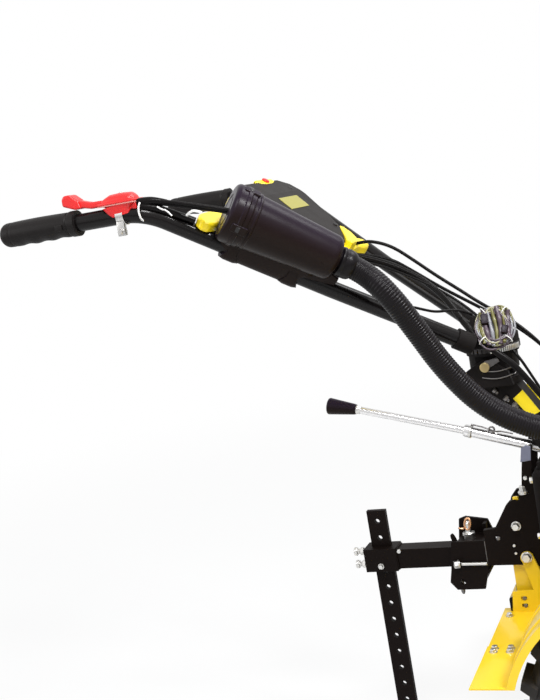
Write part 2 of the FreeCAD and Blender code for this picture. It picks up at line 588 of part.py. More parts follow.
def air_filter():
    """A tapered canister on a ribbed saddle clamped to the right-hand tube; gives where its outlet ends and which way it points."""
    top, mid = V(BAR_TOP_X, -HANDLE_Y, HANDLE_Z), V(BAR_MID[0], -BAR_MID[1], BAR_MID[2])
    d = (mid - top).normalize()
    lean = (d + tube_frame()[2] * FILTER_LEAN).normalize()
    a = top + d * FILTER_S + V(*FILTER_OFF)
    seam = a + lean * FILTER_CAP_LEN
    end = seam + lean * FILTER_LEN
    cap = Part.makeCylinder(FILTER_R + 2, FILTER_CAP_LEN, a, lean)
    cap = cap.makeFillet(9, [e for e in cap.Edges if e.Length > 200 and (e.CenterOfMass - a).Length < 1])
    keep("filter_cap", cap)
    body = Part.makeCone(FILTER_R, FILTER_R1, FILTER_LEN, seam, lean)
    keep("filter_body", body)
    keep("filter_outlet", Part.makeCylinder(OUTLET_R, OUTLET_LEN, end, lean))
    out = V(*FILTER_OFF).normalize()
    across = out.cross(d).normalize()
    tube = handle_solid(-1)
    clamps = [ring(tuple(top + d * (s - 9)), tuple(top + d * (s + 9)), TUBE_R + 5, TUBE_R + 0.1) for s in SADDLE_S]
    foot = top + d * ((SADDLE_S[0] + RIB_END) / 2) + out * (TUBE_R - 4)
    reach = (RIB_END - SADDLE_S[0]) / 2 + 9
    corners = [foot + d * i * reach + across * j * 7 for i, j in ((-1, -1), (1, -1), (1, 1), (-1, 1))]
    rib = prism([tuple(c) for c in corners], tuple(out), 32)
    saddle = rib.fuse(clamps).cut(tube.fuse([body, cap]))
    keep("filter_saddles", max(saddle.Solids, key=lambda piece: piece.Volume))
    return end + lean * OUTLET_LEN, lean


def levers():
    x = BAR_TOP_X - 46
    clamp = ring((x - 7, -HANDLE_Y, HANDLE_Z), (x + 7, -HANDLE_Y, HANDLE_Z), TUBE_R + 5, TUBE_R + 0.1)
    keep("throttle_clamp", clamp.fuse(box(x - 7, x + 7, -HANDLE_Y - 5, -HANDLE_Y + 5, HANDLE_Z - 36, HANDLE_Z - TUBE_R - 2)))
    seat = HANDLE_Z + TUBE_R + 5
    housing = box(x - 26, x + 40, -HANDLE_Y - 11, -HANDLE_Y + 11, seat, HANDLE_Z + 34)
    dome = cyl((x + 8, -HANDLE_Y, seat + 4), (x + 8, -HANDLE_Y, HANDLE_Z + 40), 20)
    side = [(x - 26, 29), (x - 60, 30), (x - 78, 24), (x - 100, 33), (x - 104, 40), (x - 98, 46), (x - 78, 41), (x - 60, 37), (x - 26, 37)]
    paddle = prism([(px, -HANDLE_Y - 9, HANDLE_Z + dz) for px, dz in side], (0, 1, 0), 18)
    keep("throttle_lever", housing.fuse([dome, paddle]))
    c = BAR_TOP_X - 80
    pivot = box(c - 18, c + 18, HANDLE_Y - 9, HANDLE_Y + 9, HANDLE_Z - 40, HANDLE_Z - TUBE_R)
    lever = bar([(c, HANDLE_Y, HANDLE_Z - 32), (c - 33, HANDLE_Y, HANDLE_Z - 46), (c - 138, HANDLE_Y, HANDLE_Z - 52)], 6, 30)
    keep("clutch_lever", pivot.fuse(lever))
    knob_a, knob_b, rod_b = (-530, 0, 643.5), (-478, 0, 632), (-285, 0, 575.6)
    rod = cyl(knob_b, rod_b, 6.5)
    stem = cyl(rod_b, (-150, 0, CASE_Z1 + 17), 9)
    collar = cyl(tuple(along(rod_b, knob_b, 5)), tuple(along(rod_b, knob_b, -5)), 11)
    pin = cyl((-181, -PLATE_Y - PLATE_T, GEAR_PIN_Z), (-181, PLATE_Y + PLATE_T, GEAR_PIN_Z), GEAR_PIN_R)
    keep("gear_lever", rod.fuse([stem, collar, pin]).cut(PARTS["column_base"]))
    knob = cone(knob_a, knob_b, 15, 9)
    nose = cyl(tuple(along(knob_a, knob_b, 12)), tuple(along(knob_a, knob_b, -5)), 12)
    keep("gear_knob", knob.fuse(nose).cut(rod))


# ---- hitch ---------------------------------------------------------------------------------
def hitch():
    """Rear hitch: cheeks that lean with the plates, cut down on the right where the pin is reached."""
    w = HITCH_W / 2
    near = [(HITCH_REAR, HITCH_Z_NEAR - 50), (HITCH_REAR + 7, HITCH_Z_NEAR), (HITCH_FRONT, HITCH_Z_NEAR), (HITCH_FRONT, 346), (HITCH_FRONT - 12, HITCH_Z0),
            (HITCH_REAR + 6, HITCH_Z0), (HITCH_REAR - 5, HITCH_Z0 + 14)]
    far_side = [(HITCH_REAR, HITCH_Z_NEAR - 50), (HITCH_X - 22, HITCH_Z1 - 4), (HITCH_X - 10, HITCH_Z1), (HITCH_FRONT - 6, HITCH_Z1 - 7),
                (HITCH_FRONT, HITCH_Z_NEAR), (HITCH_FRONT, 346), (HITCH_FRONT - 18, HITCH_Z0), (HITCH_REAR + 6, HITCH_Z0), (HITCH_REAR - 5, HITCH_Z0 + 14)]
    right = prism([(x, -w, z) for x, z in near], (0, 1, 0), HITCH_T)
    left = prism([(x, w - HITCH_T, z) for x, z in far_side], (0, 1, 0), HITCH_T)
    web = prism([(HITCH_FRONT - HITCH_T, -w, HITCH_Z_NEAR), (HITCH_FRONT, -w, HITCH_Z_NEAR), (HITCH_FRONT, -w, 346),
                 (HITCH_FRONT - 18, -w, HITCH_Z0), (HITCH_FRONT - 18 - HITCH_T, -w, HITCH_Z0)], (0, 1, 0), HITCH_W)
    high = box(HITCH_FRONT - 6 - HITCH_T, HITCH_FRONT - 6, w - 24, w, HITCH_Z_NEAR - 1, HITCH_Z1 - 9)
    lo, hi = DRAWBAR_Z - DRAWBAR / 2 - 2, DRAWBAR_Z + DRAWBAR / 2 + 2
    ears = [box(HITCH_X - 20, HITCH_FRONT, -w, w, z0, z0 + HITCH_T) for z0 in (lo - HITCH_T, hi)]
    bracket = right.fuse([left, web, high] + ears)
    bracket = bracket.cut(cyl((HITCH_X, 0, 0), (HITCH_X, 0, FAR), HITCH_PIN_R + RUN_GAP))
    cross = (HITCH_X - HITCH_PIN_R - 6, HITCH_Z0 + 14)
    bracket = bracket.cut(cyl((cross[0], -w - 1, cross[1]), (cross[0], w + 1, cross[1]), HITCH_CROSS_R))
    keep("hitch_bracket", bracket)
    pin = cyl((HITCH_X, 0, HITCH_Z0 - 12), (HITCH_X, 0, hi + HITCH_T + 1), HITCH_PIN_R)
    pin = pin.fuse(cyl((HITCH_X, 0, hi + HITCH_T), (HITCH_X, 0, hi + HITCH_T + HITCH_PIN_UP), HITCH_PIN_R - 3))
    collar = cyl((HITCH_X, 0, hi + HITCH_T), (HITCH_X, 0, hi + HITCH_T + HITCH_COLLAR_H), 10)
    keep("hitch_pin", pin.fuse(collar))
    rear = HITCH_FRONT
    front_edge = [(-225, 457), (-216, 460), (-208, 458), (-201, 475), (-197, 505), (-190, 548), (-175, 550), (-180, 510), (-180, 490),
                  (CASE_X0, 490), (CASE_X0, CASE_Z0), (CASE_X0 + 60, CASE_Z0), (CASE_X0 + 60, 330), (CASE_X0 + 25, 336), (-217, 345)]
    near_rear = [(rear, 346), (rear, 409), (rear + 20, 411), (-232, 450)]
    far_rear = [(rear, 346), (rear, 388), (rear + 24, 390), (-234, 446)]
    sides = ((-PLATE_Y - PLATE_T, "hitch_plate_right", near_rear, (-254, 394)), (PLATE_Y, "hitch_plate_left", far_rear, (-270, 370)))
    for y0, name, edge, eye in sides:
        plate = prism([(x, y0, z) for x, z in edge + front_edge], (0, 1, 0), PLATE_T)
        hole = cyl((eye[0], y0 - 1, eye[1]), (eye[0], y0 + PLATE_T + 1, eye[1]), 4.5)
        pivot = cyl((-181, y0 - 1, GEAR_PIN_Z), (-181, y0 + PLATE_T + 1, GEAR_PIN_Z), GEAR_PIN_R + JOIN / 2)
        keep(name, plate.cut(hole).cut(pivot))
    h = DRAWBAR / 2
    beam = box(STAKE_X + CLAMP_LEN / 2, HITCH_X, -h, h, DRAWBAR_Z - h, DRAWBAR_Z + h)
    nose = cyl((HITCH_X, 0, DRAWBAR_Z - h), (HITCH_X, 0, DRAWBAR_Z + h), h)
    beam = beam.fuse(nose).cut(cyl((HITCH_X, 0, 0), (HITCH_X, 0, FAR), HITCH_PIN_R + RUN_GAP))
    keep("drawbar", beam)
    c = CLAMP_W / 2
    clamp = box(STAKE_X - CLAMP_LEN / 2, STAKE_X + CLAMP_LEN / 2, -c, c, DRAWBAR_Z - c, DRAWBAR_Z + c)
    s = 0.5
    clamp = clamp.cut(box(STAKE_X - STAKE_W / 2 - s, STAKE_X + STAKE_W / 2 + s, -STAKE_T / 2 - s, STAKE_T / 2 + s, 0, FAR))
    end = STAKE_X - CLAMP_LEN / 2
    bolts = [cyl((end - CLAMP_BOLT_LEN, 0, DRAWBAR_Z + dz), (end, 0, DRAWBAR_Z + dz), CLAMP_BOLT_R)
             for dz in (-CLAMP_BOLT_Z, CLAMP_BOLT_Z)]
    heads = [cyl((end - CLAMP_BOLT_LEN, 0, DRAWBAR_Z + dz), (end - CLAMP_BOLT_LEN + 5, 0, DRAWBAR_Z + dz), CLAMP_BOLT_R + 3)
             for dz in (-CLAMP_BOLT_Z, CLAMP_BOLT_Z)]
    keep("stake_clamp", clamp.fuse(bolts + heads))
    stake = box(STAKE_X - STAKE_W / 2, STAKE_X + STAKE_W / 2, -STAKE_T / 2, STAKE_T / 2, STAKE_Z0, STAKE_Z0 + STAKE_LEN)
    count = int((STAKE_LEN - STAKE_TOP_HOLE) // STAKE_PITCH)
    for i in range(count):
        z = STAKE_Z0 + STAKE_LEN - STAKE_TOP_HOLE - i * STAKE_PITCH
        stake = stake.cut(cyl((STAKE_X, -STAKE_T, z), (STAKE_X, STAKE_T, z), STAKE_HOLE_R))
    keep("drag_stake", stake)


# ---- fenders -------------------------------------------------------------------------------
def fenders():
    """Arch close over each wheel with a flat tail, carried by a slotted plate, a set-back post and a shelf."""
    y0, y1 = -WHEEL_Y - FENDER_W / 2, -WHEEL_Y + FENDER_W / 2

    def drum(r, a, b):
        return Part.makeCylinder(r, b - a, V(0, a, TYRE_R), V(0, 1, 0), 360)
    shell = drum(FENDER_R, y0, y1).cut(drum(FENDER_R - FENDER_T, y0, y1))
    lips = [drum(FENDER_R, a, b).cut(drum(FENDER_R - FENDER_LIP, a, b)) for a, b in ((y0, y0 + FENDER_T), (y1 - FENDER_T, y1))]
    a0 = math.radians(FENDER_FRONT)
    rise = SHELF_Z - TYRE_R
    tail_x = -math.sqrt((FENDER_R - FENDER_T) ** 2 - rise ** 2)
    far = FENDER_R * 2.4
    keepers = prism([(0, y0, SHELF_Z), (0, y0, TYRE_R + rise * 0.5), (far * math.cos(a0), y0, TYRE_R + far * math.sin(a0)),
                     (0, y0, TYRE_R + far * 1.6), (-far, y0, TYRE_R + far), (-far, y0, SHELF_Z)], (0, 1, 0), y1 - y0)
    arch = shell.fuse(lips).common(keepers)
    tail = box(SHELF_X0, tail_x + 1, y0, y1, SHELF_Z, SHELF_Z + FENDER_T)
    both("fender", arch.fuse(tail))
    out = -PLATE_Y - PLATE_T
    low = SHELF_Z - STAY_T
    strap = cyl((-208, out - STAY_T, 358), (-208, out, 358), 11)
    front = prism([(x, out - STAY_T, z) for x, z in ((-217, 352), (-205, 301), (-241, 299), (-246, low), (SHELF_X1, low), (-178, 300), (-197, 359))],
                  (0, 1, 0), STAY_T).fuse(strap)
    slots = [box(-228, -218, out - STAY_T - 1, out + 1, z, z + 6) for z in (271, 284)]
    post = box(-236, -204, -PLATE_Y, -PLATE_Y + STAY_T, low, 357)
    shelf = box(SHELF_X0, SHELF_X1, y1, -PLATE_Y + STAY_T, low, SHELF_Z)
    lap = box(SHELF_X0, tail_x - 8, y1 - 28, y1, low, SHELF_Z)
    both("fender_stay", front.cut(Part.makeCompound(slots)).fuse([post, shelf, lap]))


def split(route, run):
    """A route cut in two at the middle of one of its runs."""
    a, b = V(*route[run]), V(*route[run + 1])
    mid = tuple((a + b) / 2)
    return route[:run + 1] + [mid], [mid] + route[run + 1:]


def hose(start, d):
    """Intake hose from the filter to the carburettor, in an upper and a lower length."""
    route = [tuple(start), tuple(start + d * 26), (BAR_MID[0] + 99, -190, BAR_MID[2] - 17), (-302, -170, 788), (-268, -153, 713), (-218, -136, 643),
             (-147, -126, CARB_IN_Z + 18), (-60, CARB_Y + 15, CARB_IN_Z), (30, CARB_Y, CARB_IN_Z), (CARB_X - CARB_STUB - JOIN, CARB_Y, CARB_IN_Z)]
    upper, lower = split(route, HOSE_SPLIT_RUN)
    keep("hose_upper", bar(upper, HOSE_R, HOSE_BEND))
    keep("hose_lower", bar(lower, HOSE_R, HOSE_BEND))


def cables():
    """Control cables in their black outers, clipped along the bar and the column."""
    uppers, lowers = [], []
    for i in (0, 1):
        y = 40.0 + 12.0 * i
        z = -6.0 * i
        origin, fall, up = tube_frame()
        out = origin + fall * (CONSOLE_S1 + 1.1) + up * (22.0 - 6.7 * i)
        route = [(out.x, y, out.z), (BAR_MID[0] + 30, y + 2, BAR_MID[2] + 25 + z), (BAR_MID[0] + 100, y + 4, BAR_MID[2] - 22 + z),
                 (COLUMN_X - 33, y + 2, YOKE_Z + 67.6 + z), (COLUMN_X + 52, y, YOKE_Z + 10.6 + z), (-112, y + 4, 655), (-50, y + 18, 570),
                 (40, y + 26, CABLE_IN_Z), (BLOCK_X0 - JOIN, y + 26, CABLE_IN_Z)]
        upper, lower = split(route, 3)
        uppers.append(bar(upper, CABLE_R, 120))
        lowers.append(bar(lower, CABLE_R, 120))
    keep("cables_upper", Part.makeCompound(uppers))
    keep("cables_lower", Part.makeCompound(lowers))
    x = BAR_TOP_X - 6
    throttle = [(x + JOIN, -HANDLE_Y, HANDLE_Z + 27), (x + 28, -HANDLE_Y, HANDLE_Z + 26), (x + 53, -284, HANDLE_Z + 8),
                (x + 68, -262, HANDLE_Z)]
    keep("throttle_cable", bar(throttle, CABLE_R, 40))


def build():
    os.makedirs("parts", exist_ok=True)
    wheels()
    gearbox()
    engine()
    bed()
    front_stand()
    column()
    handlebar()
    console()
    end, direction = air_filter()
    hose(end, direction)
    cables()
    levers()
    hitch()
    fenders()
    for name, shape in PARTS.items():
        shape = shape.copy()
        shape.translate(V(AXLE_X, 0, 0))
        shape.exportStep("parts/" + name + ".step")
        print(name, shape.ShapeType, len(shape.Solids), shape.isValid(), round(shape.Volume / 1e3, 1))


build()
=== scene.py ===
import json
import math

import bmesh
import bpy
import numpy as np
from mathutils import Matrix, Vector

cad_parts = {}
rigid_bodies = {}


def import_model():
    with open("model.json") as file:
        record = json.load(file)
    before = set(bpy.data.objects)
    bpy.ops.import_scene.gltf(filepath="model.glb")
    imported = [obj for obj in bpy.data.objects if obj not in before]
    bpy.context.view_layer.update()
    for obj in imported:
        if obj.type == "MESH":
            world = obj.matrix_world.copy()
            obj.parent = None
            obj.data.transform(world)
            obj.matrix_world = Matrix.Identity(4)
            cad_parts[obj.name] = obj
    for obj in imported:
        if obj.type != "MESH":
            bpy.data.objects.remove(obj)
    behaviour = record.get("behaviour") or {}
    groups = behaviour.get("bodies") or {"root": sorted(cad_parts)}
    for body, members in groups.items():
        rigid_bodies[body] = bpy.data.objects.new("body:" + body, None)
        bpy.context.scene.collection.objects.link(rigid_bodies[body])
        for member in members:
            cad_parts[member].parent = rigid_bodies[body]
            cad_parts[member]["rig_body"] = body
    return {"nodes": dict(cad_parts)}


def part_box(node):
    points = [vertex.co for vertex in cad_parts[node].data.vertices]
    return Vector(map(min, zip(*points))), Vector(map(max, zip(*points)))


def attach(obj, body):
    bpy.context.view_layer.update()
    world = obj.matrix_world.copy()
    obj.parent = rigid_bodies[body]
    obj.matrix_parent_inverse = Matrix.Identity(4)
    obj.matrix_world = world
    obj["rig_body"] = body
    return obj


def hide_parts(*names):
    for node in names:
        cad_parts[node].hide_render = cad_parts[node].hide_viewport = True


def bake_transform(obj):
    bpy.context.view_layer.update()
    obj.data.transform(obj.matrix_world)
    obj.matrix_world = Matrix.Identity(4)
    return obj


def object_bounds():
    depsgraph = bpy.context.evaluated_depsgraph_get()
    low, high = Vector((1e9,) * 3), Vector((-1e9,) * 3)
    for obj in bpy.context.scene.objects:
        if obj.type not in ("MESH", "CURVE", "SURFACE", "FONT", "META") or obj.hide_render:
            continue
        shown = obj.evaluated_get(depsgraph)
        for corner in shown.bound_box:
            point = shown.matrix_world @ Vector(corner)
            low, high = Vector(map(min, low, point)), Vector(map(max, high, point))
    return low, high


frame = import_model()
cad_low, cad_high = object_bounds()

# Walk-behind garden tiller. Shapes are in millimetres from the wheel axle: +X forward, +Y left, +Z up.

# ---- named sizes ---------------------------------------------------------------------------
AXLE = sum(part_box("axle_shaft"), start=cad_low * 0) / 2
TAU = 2.0 * math.pi

HANDLE_Y = 310.0
HANDLE_Z = 1040.0
GRIP_END = -925.0
GRIP_LEN = 146.0
TUBE_R = 14.0
BAR_TOP = np.array([-662.0, -310.0, 1040.0])
BAR_MID = np.array([-430.0, -170.0, 868.0])

COLUMN_X = -222.0
TURN_Z = 714.0
RING_R = 47.0
YOKE_TOP = 738.4

FILTER_RUN = 120.0
FILTER_OFF = np.array([38.0, -21.8, 43.6])
FILTER_LEAN = -0.022
FILTER_R = 45.0
FILTER_R1 = 36.0
FILTER_CAP = 26.0
FILTER_LEN = 163.0
OUTLET_R = 20.0
OUTLET_LEN = 22.0
HOSE_R = 19.2
HOSE_PITCH = 4.6
CABLE_R = 3.0
CABLE_MEET_X = -212.5        # where the two halves of the cables meet
HOSE_MEET_Z = 678.0          # where the two halves of the hose meet

HITCH_X = -311.0
DRAWBAR_Z = 357.0
CLAMP_HALF = 21.0
CLAMP_REAR = -503.0

BLOCK_X0 = 150.0
BLOCK_X1 = 300.0
CRANK_Z = 430.0
FAN_Z = 440.0
HEAD_Y = -190.0
WHEEL_Y = 262.0
WHEEL_Z = 200.0
PLATE_SIDE = 38.0
HUB_END = 286.0

CAMERA_TURN = (-22.7, 7.5, 10.0)
CAMERA_PLACE = (0.310, -1.907, 1.029)
CAMERA_LENS = 59.09
FLOOR_WHITE = (0.86, 1.0)     # share of white near the machine and far from it
FLOOR_FADE = (1.4, 4.2)

FALL = (BAR_MID - BAR_TOP) / np.linalg.norm(BAR_MID - BAR_TOP)
SLOPE = np.array([232.0, 0.0, -172.0]) / math.hypot(232.0, 172.0)
LIFT = np.array([172.0, 0.0, 232.0]) / math.hypot(232.0, 172.0)
CONSOLE = np.array([-662.0, 0.0, 1040.0])
ACROSS = np.array([0.0, 1.0, 0.0])
RIGHTWARD = (0.0, -1.0, 0.0)
LEFTWARD = (0.0, 1.0, 0.0)
FORWARD = (1.0, 0.0, 0.0)
BACKWARD = (-1.0, 0.0, 0.0)
UP = (0.0, 0.0, 1.0)
SIDES = ((-1.0, "right"), (1.0, "left"))
CORNERS = ((-1, -1), (-1, 1), (1, -1), (1, 1))
THREAD_PITCH = 1.25
QUARTER = math.pi / 2


# ---- shader expressions --------------------------------------------------------------------
class Signal:
    """A shader socket that takes part in sums; every operator adds one Math node."""

    def __init__(self, paint, socket):
        self.paint = paint
        self.socket = socket

    def __add__(self, other):
        return self.paint.maths("ADD", self, other)

    __radd__ = __add__

    def __sub__(self, other):
        return self.paint.maths("SUBTRACT", self, other)

    def __mul__(self, other):
        return self.paint.maths("MULTIPLY", self, other)

    __rmul__ = __mul__

    def limited(self):
        """The same signal, kept between 0 and 1."""
        return self.paint.node("ShaderNodeClamp", {}, {0: self})


class Paint:
    """The node tree of one material, or of the world."""

    def __init__(self, name, owner=None):
        self.material = owner or bpy.data.materials.new(name)
        self.material.use_nodes = True
        self.tree = self.material.node_tree
        self.tree.nodes.clear()

    def node(self, kind, settings, sockets, out=0):
        """A node of a type: its settings first, then the values or links of its sockets; gives one output."""
        made = self.tree.nodes.new(kind)
        for key, value in settings.items():
            if key == "stops":
                ramp = made.color_ramp
                for stop, (place, shade) in zip((ramp.elements[0], ramp.elements[1]), value):
                    stop.position = place
                    stop.color = (*shade, 1.0)
            else:
                setattr(made, key, value)
        for key, value in sockets.items():
            if isinstance(value, Signal):
                self.tree.links.new(value.socket, made.inputs[key])
            else:
                made.inputs[key].default_value = value
        return Signal(self, made.outputs[out])

    def maths(self, operation, a, b):
        """One Math node of two values."""
        return self.node("ShaderNodeMath", {"operation": operation}, {0: a, 1: b})

    def places(self, stretch=(1.0, 1.0, 1.0), turn=(0.0, 0.0, 0.0)):
        """Object coordinates, stretched or turned for a pattern with a direction."""
        where = self.node("ShaderNodeTexCoord", {}, {}, "Object")
        if stretch == (1.0, 1.0, 1.0) and turn == (0.0, 0.0, 0.0):
            return where
        return self.node("ShaderNodeMapping", {}, {"Vector": where, "Rotation": turn, "Scale": stretch})

    def noise(self, per_metre, detail=3.0, rough=0.55, where=None):
        """Cloudy noise from 0 to 1 with so many lumps in a metre."""
        return self.node("ShaderNodeTexNoise", {},
                         {"Vector": where or self.places(), "Scale": per_metre, "Detail": detail,
                          "Roughness": rough})

    def step(self, signal, low, high):
        """0 below low and 1 above high."""
        return self.node("ShaderNodeMapRange", {"interpolation_type": "SMOOTHSTEP"},
                         {0: signal, 1: low, 2: high})

    def blend(self, share, a, b):
        """Colour a where share is 0 and colour b where it is 1."""
        first = a if isinstance(a, Signal) else (*a, 1.0)
        second = b if isinstance(b, Signal) else (*b, 1.0)
        return self.node("ShaderNodeMix", {"data_type": "RGBA"}, {0: share, 6: first, 7: second}, 2)

    def upward(self, low=0.25, high=0.95):
        """1 on faces that look up and 0 on walls and undersides."""
        normal = self.node("ShaderNodeNewGeometry", {}, {}, "Normal")
        height = self.node("ShaderNodeSeparateXYZ", {}, {0: normal}, 2)
        return self.step(height, low, high)

    def bump(self, height, depth):
        """A surface direction from a height that is so many metres deep."""
        return self.node("ShaderNodeBump", {}, {"Height": height, "Distance": depth, "Strength": 1.0})

    def finish(self, sockets):
        """Closes the tree with one principled surface."""
        surface = self.node("ShaderNodeBsdfPrincipled", {}, sockets)
        self.close(surface)
        return self.material

    def close(self, surface, kind="ShaderNodeOutputMaterial"):
        """Leads a surface to the tree's output."""
        sink = self.tree.nodes.new(kind)
        self.tree.links.new(surface.socket, sink.inputs["Surface"])


def lacquer(name, colour, gloss, dust=0.05, coat=0.4, shine=0.5):
    """Gloss paint on sheet or tube: faint orange peel, cloudy tone and a breath of dust on upper faces."""
    p = Paint(name)
    cloud = p.noise(38.0, 5.0, 0.6)
    peel = p.noise(620.0, 2.0, 0.5)
    speck = p.step(p.noise(1500.0, 1.0), 0.68, 0.78)
    tone = p.blend(cloud * 0.3, colour, tuple(min(1.0, c * 1.30 + 0.001) for c in colour))
    film = (p.upward() * cloud * dust + speck * dust).limited()
    face = p.blend(film, tone, (0.34, 0.30, 0.26))
    return p.finish({"Base Color": face, "Roughness": gloss + cloud * 0.12 + film * 0.5, "Coat Weight": coat,
                     "Coat Roughness": 0.09, "Specular IOR Level": shine, "Normal": p.bump(peel, 0.00006)})


def casting(name, colour, gloss, grain=0.00035, metal=0.0, shine=0.5):
    """Sand-cast skin: pebbly grain in two sizes, with tone gathered in the hollows."""
    p = Paint(name)
    grit = p.noise(900.0, 4.0, 0.65)
    lump = p.noise(160.0, 3.0, 0.5)
    stain = p.noise(24.0, 5.0, 0.6)
    tone = p.blend(p.step(grit, 0.3, 0.7), tuple(c * 0.72 for c in colour), tuple(c * 1.18 for c in colour))
    face = p.blend(stain * 0.25, tone, tuple(c * 0.6 for c in colour))
    return p.finish({"Base Color": face, "Roughness": gloss + grit * 0.16, "Metallic": metal,
                     "Specular IOR Level": shine, "Normal": p.bump(grit * 0.6 + lump * 0.4, grain)})


def moulded(name, colour, gloss, grain=0.00004, coat=0.0, shine=0.5, upper=None):
    """Moulded plastic: a fine etched grain, slow gloss changes and, if asked, a painted sheen: a lighter tone
    on upper faces for the light from above.
    """
    p = Paint(name)
    etch = p.noise(2300.0, 2.0, 0.6)
    slow = p.noise(30.0, 4.0, 0.6)
    scuff = p.step(p.noise(420.0, 2.0, 0.5, p.places((1.0, 0.12, 1.0))), 0.66, 0.74)
    tone = p.blend(slow * 0.3, colour, tuple(min(1.0, c * 1.25 + 0.001) for c in colour))
    # upper is a painted sheen: faces that look up get a lighter colour in place of the light that falls on
    # them from above
    if upper is not None:
        tone = p.blend(p.upward(-0.35, 0.8), tone, upper)
    return p.finish({"Base Color": tone, "Roughness": gloss + slow * 0.14 - scuff * 0.05, "Coat Weight": coat,
                     "Coat Roughness": 0.2, "Specular IOR Level": shine, "Normal": p.bump(etch, grain)})


def rubber(name, colour, gloss, dust=0.08, shine=0.3):
    """Rubber with a soft bloom and fine pores."""
    p = Paint(name)
    pore = p.noise(1700.0, 3.0, 0.6)
    bloom = p.noise(55.0, 5.0, 0.62)
    film = (p.step(bloom, 0.45, 0.8) * dust + p.upward() * dust * 0.5).limited()
    face = p.blend(film, colour, (0.26, 0.23, 0.20))
    return p.finish({"Base Color": face, "Roughness": gloss + bloom * 0.18, "Specular IOR Level": shine,
                     "Normal": p.bump(pore, 0.00006)})


def bright(name, colour, gloss, lines=(1.0, 1.0, 1.0), depth=0.00003, marks=0.45):
    """Plated or polished metal with fine drawn lines and light water marks."""
    p = Paint(name)
    drawn = p.noise(1300.0, 2.0, 0.5, p.places(lines))
    mark = p.noise(120.0, 4.0, 0.6)
    face = p.blend(mark * marks, colour, tuple(c * 0.70 for c in colour))
    return p.finish({"Base Color": face, "Metallic": 1.0, "Roughness": gloss + mark * 0.12 + drawn * 0.06,
                     "Normal": p.bump(drawn, depth)})


BLACK_GLOSS = lacquer("black_gloss_paint", (0.0056, 0.0034, 0.0028), 0.44, 0.002, 0.0, 0.06)
BLACK_TUBE = lacquer("black_tube_paint", (0.0052, 0.0042, 0.0042), 0.22, 0.003, 0.20, 0.08)
BLACK_CAST = casting("black_casting", (0.0074, 0.0058, 0.0056), 0.58, 0.00025, 0.0, 0.12)
YELLOW_PAINT = lacquer("yellow_paint", (0.80, 0.53, 0.012), 0.26, 0.02, 0.30, 0.30)
YELLOW_PLASTIC = moulded("yellow_plastic", (0.90, 0.66, 0.010), 0.30, 0.00003, 0.15, 0.30)
YELLOW_LABEL = moulded("yellow_label_film", (0.86, 0.66, 0.012), 0.34, 0.00002, 0.1, 0.3)
RED_PLASTIC = moulded("red_plastic", (0.66, 0.016, 0.016), 0.28, 0.00003, 0.2, 0.35)
# The second colour is a painted sheen: faces that look up are lighter and more purple, standing in for the
# light from above
BLACK_PLASTIC = moulded("black_plastic", (0.0098, 0.0052, 0.0038), 0.22, 0.00002, 0.0, 0.09,
                        (0.0155, 0.0098, 0.0180))
LID_PLASTIC = moulded("lid_plastic", (0.0095, 0.0072, 0.0068), 0.36, 0.00004, 0.0, 0.07)
ENGINE_BLACK = lacquer("engine_black", (0.010, 0.009, 0.009), 0.34, 0.02, 0.15, 0.25)
CAST_ALLOY = casting("cast_alloy", (0.50, 0.51, 0.52), 0.36, 0.0003, 0.85)
DARK_ALLOY = casting("dark_alloy", (0.20, 0.19, 0.19), 0.34, 0.0002, 0.8)
DARK_STEEL = casting("dark_steel", (0.060, 0.055, 0.055), 0.34, 0.0001, 0.7, 0.3)
BARE_ALLOY = bright("fin_alloy", (0.60, 0.61, 0.62), 0.34)
ZINC = bright("zinc_plate", (0.66, 0.65, 0.63), 0.24)
CHROME = bright("drawn_chrome", (0.74, 0.73, 0.73), 0.17, (0.06, 1.0, 1.0), 0.00003, 0.15)
BRASS = bright("brass", (0.80, 0.62, 0.30), 0.26)
BLUED = bright("blued_steel", (0.20, 0.21, 0.28), 0.34)
COPPER = bright("passivated_spring_steel", (0.72, 0.40, 0.22), 0.24)
TYRE_RUBBER = rubber("tyre_rubber", (0.016, 0.014, 0.013), 0.60, 0.10)
GRIP_RUBBER = rubber("grip_rubber", (0.0105, 0.0090, 0.0088), 0.36, 0.008, 0.12)
# The second colour is a painted sheen: upper faces of the hose are lighter, standing in for the light from
# above
HOSE_RUBBER = moulded("hose_plastic", (0.0044, 0.0035, 0.0036), 0.24, 0.00003, 0.0, 0.13,
                      (0.0075, 0.0058, 0.0078))
CABLE_BLACK = moulded("cable_outer", (0.0050, 0.0042, 0.0042), 0.26, 0.00002, 0.04, 0.08)
# A pale pink for the thin line between the throttle housing and its flange: a painted highlight where the
# edges catch the light
SEAM_HIGHLIGHT_PAINT = moulded("painted_seam_highlight", (0.62, 0.25, 0.22), 0.40, 0.00003, 0.0, 0.3)
SIGN_FILM = moulded("sign_film", (0.30, 0.27, 0.035), 0.30, 0.00002, 0.1, 0.3)
WIRE_TAN = moulded("wire_tan", (0.34, 0.32, 0.19), 0.36, 0.00003, 0.2)
WIRE_OLIVE = moulded("wire_olive", (0.13, 0.12, 0.025), 0.36, 0.00003, 0.2)
WIRE_GREY = moulded("wire_grey", (0.20, 0.20, 0.22), 0.34, 0.00003, 0.2)
WIRE_PURPLE = moulded("wire_purple", (0.055, 0.032, 0.048), 0.36, 0.00003, 0.2)
WHITE_TIE = moulded("white_nylon", (0.80, 0.79, 0.77), 0.36)


# ---- shapes --------------------------------------------------------------------------------
def turns(count):
    """Even angles once round."""
    return np.linspace(0, TAU, count, endpoint=False)


def quarter(count):
    """Angles from 0 to a right angle."""
    return np.linspace(0, QUARTER, count)


def unit(v):
    """The same directions, each one long."""
    v = np.asarray(v, float)
    return v / np.linalg.norm(v, axis=-1, keepdims=True)


def square_to(direction):
    """Two unit directions square to a line and to each other."""
    d = unit(direction)
    helper = UP if abs(d[2]) < 0.9 else FORWARD
    first = unit(np.cross(d, helper))
    return first, np.cross(d, first)


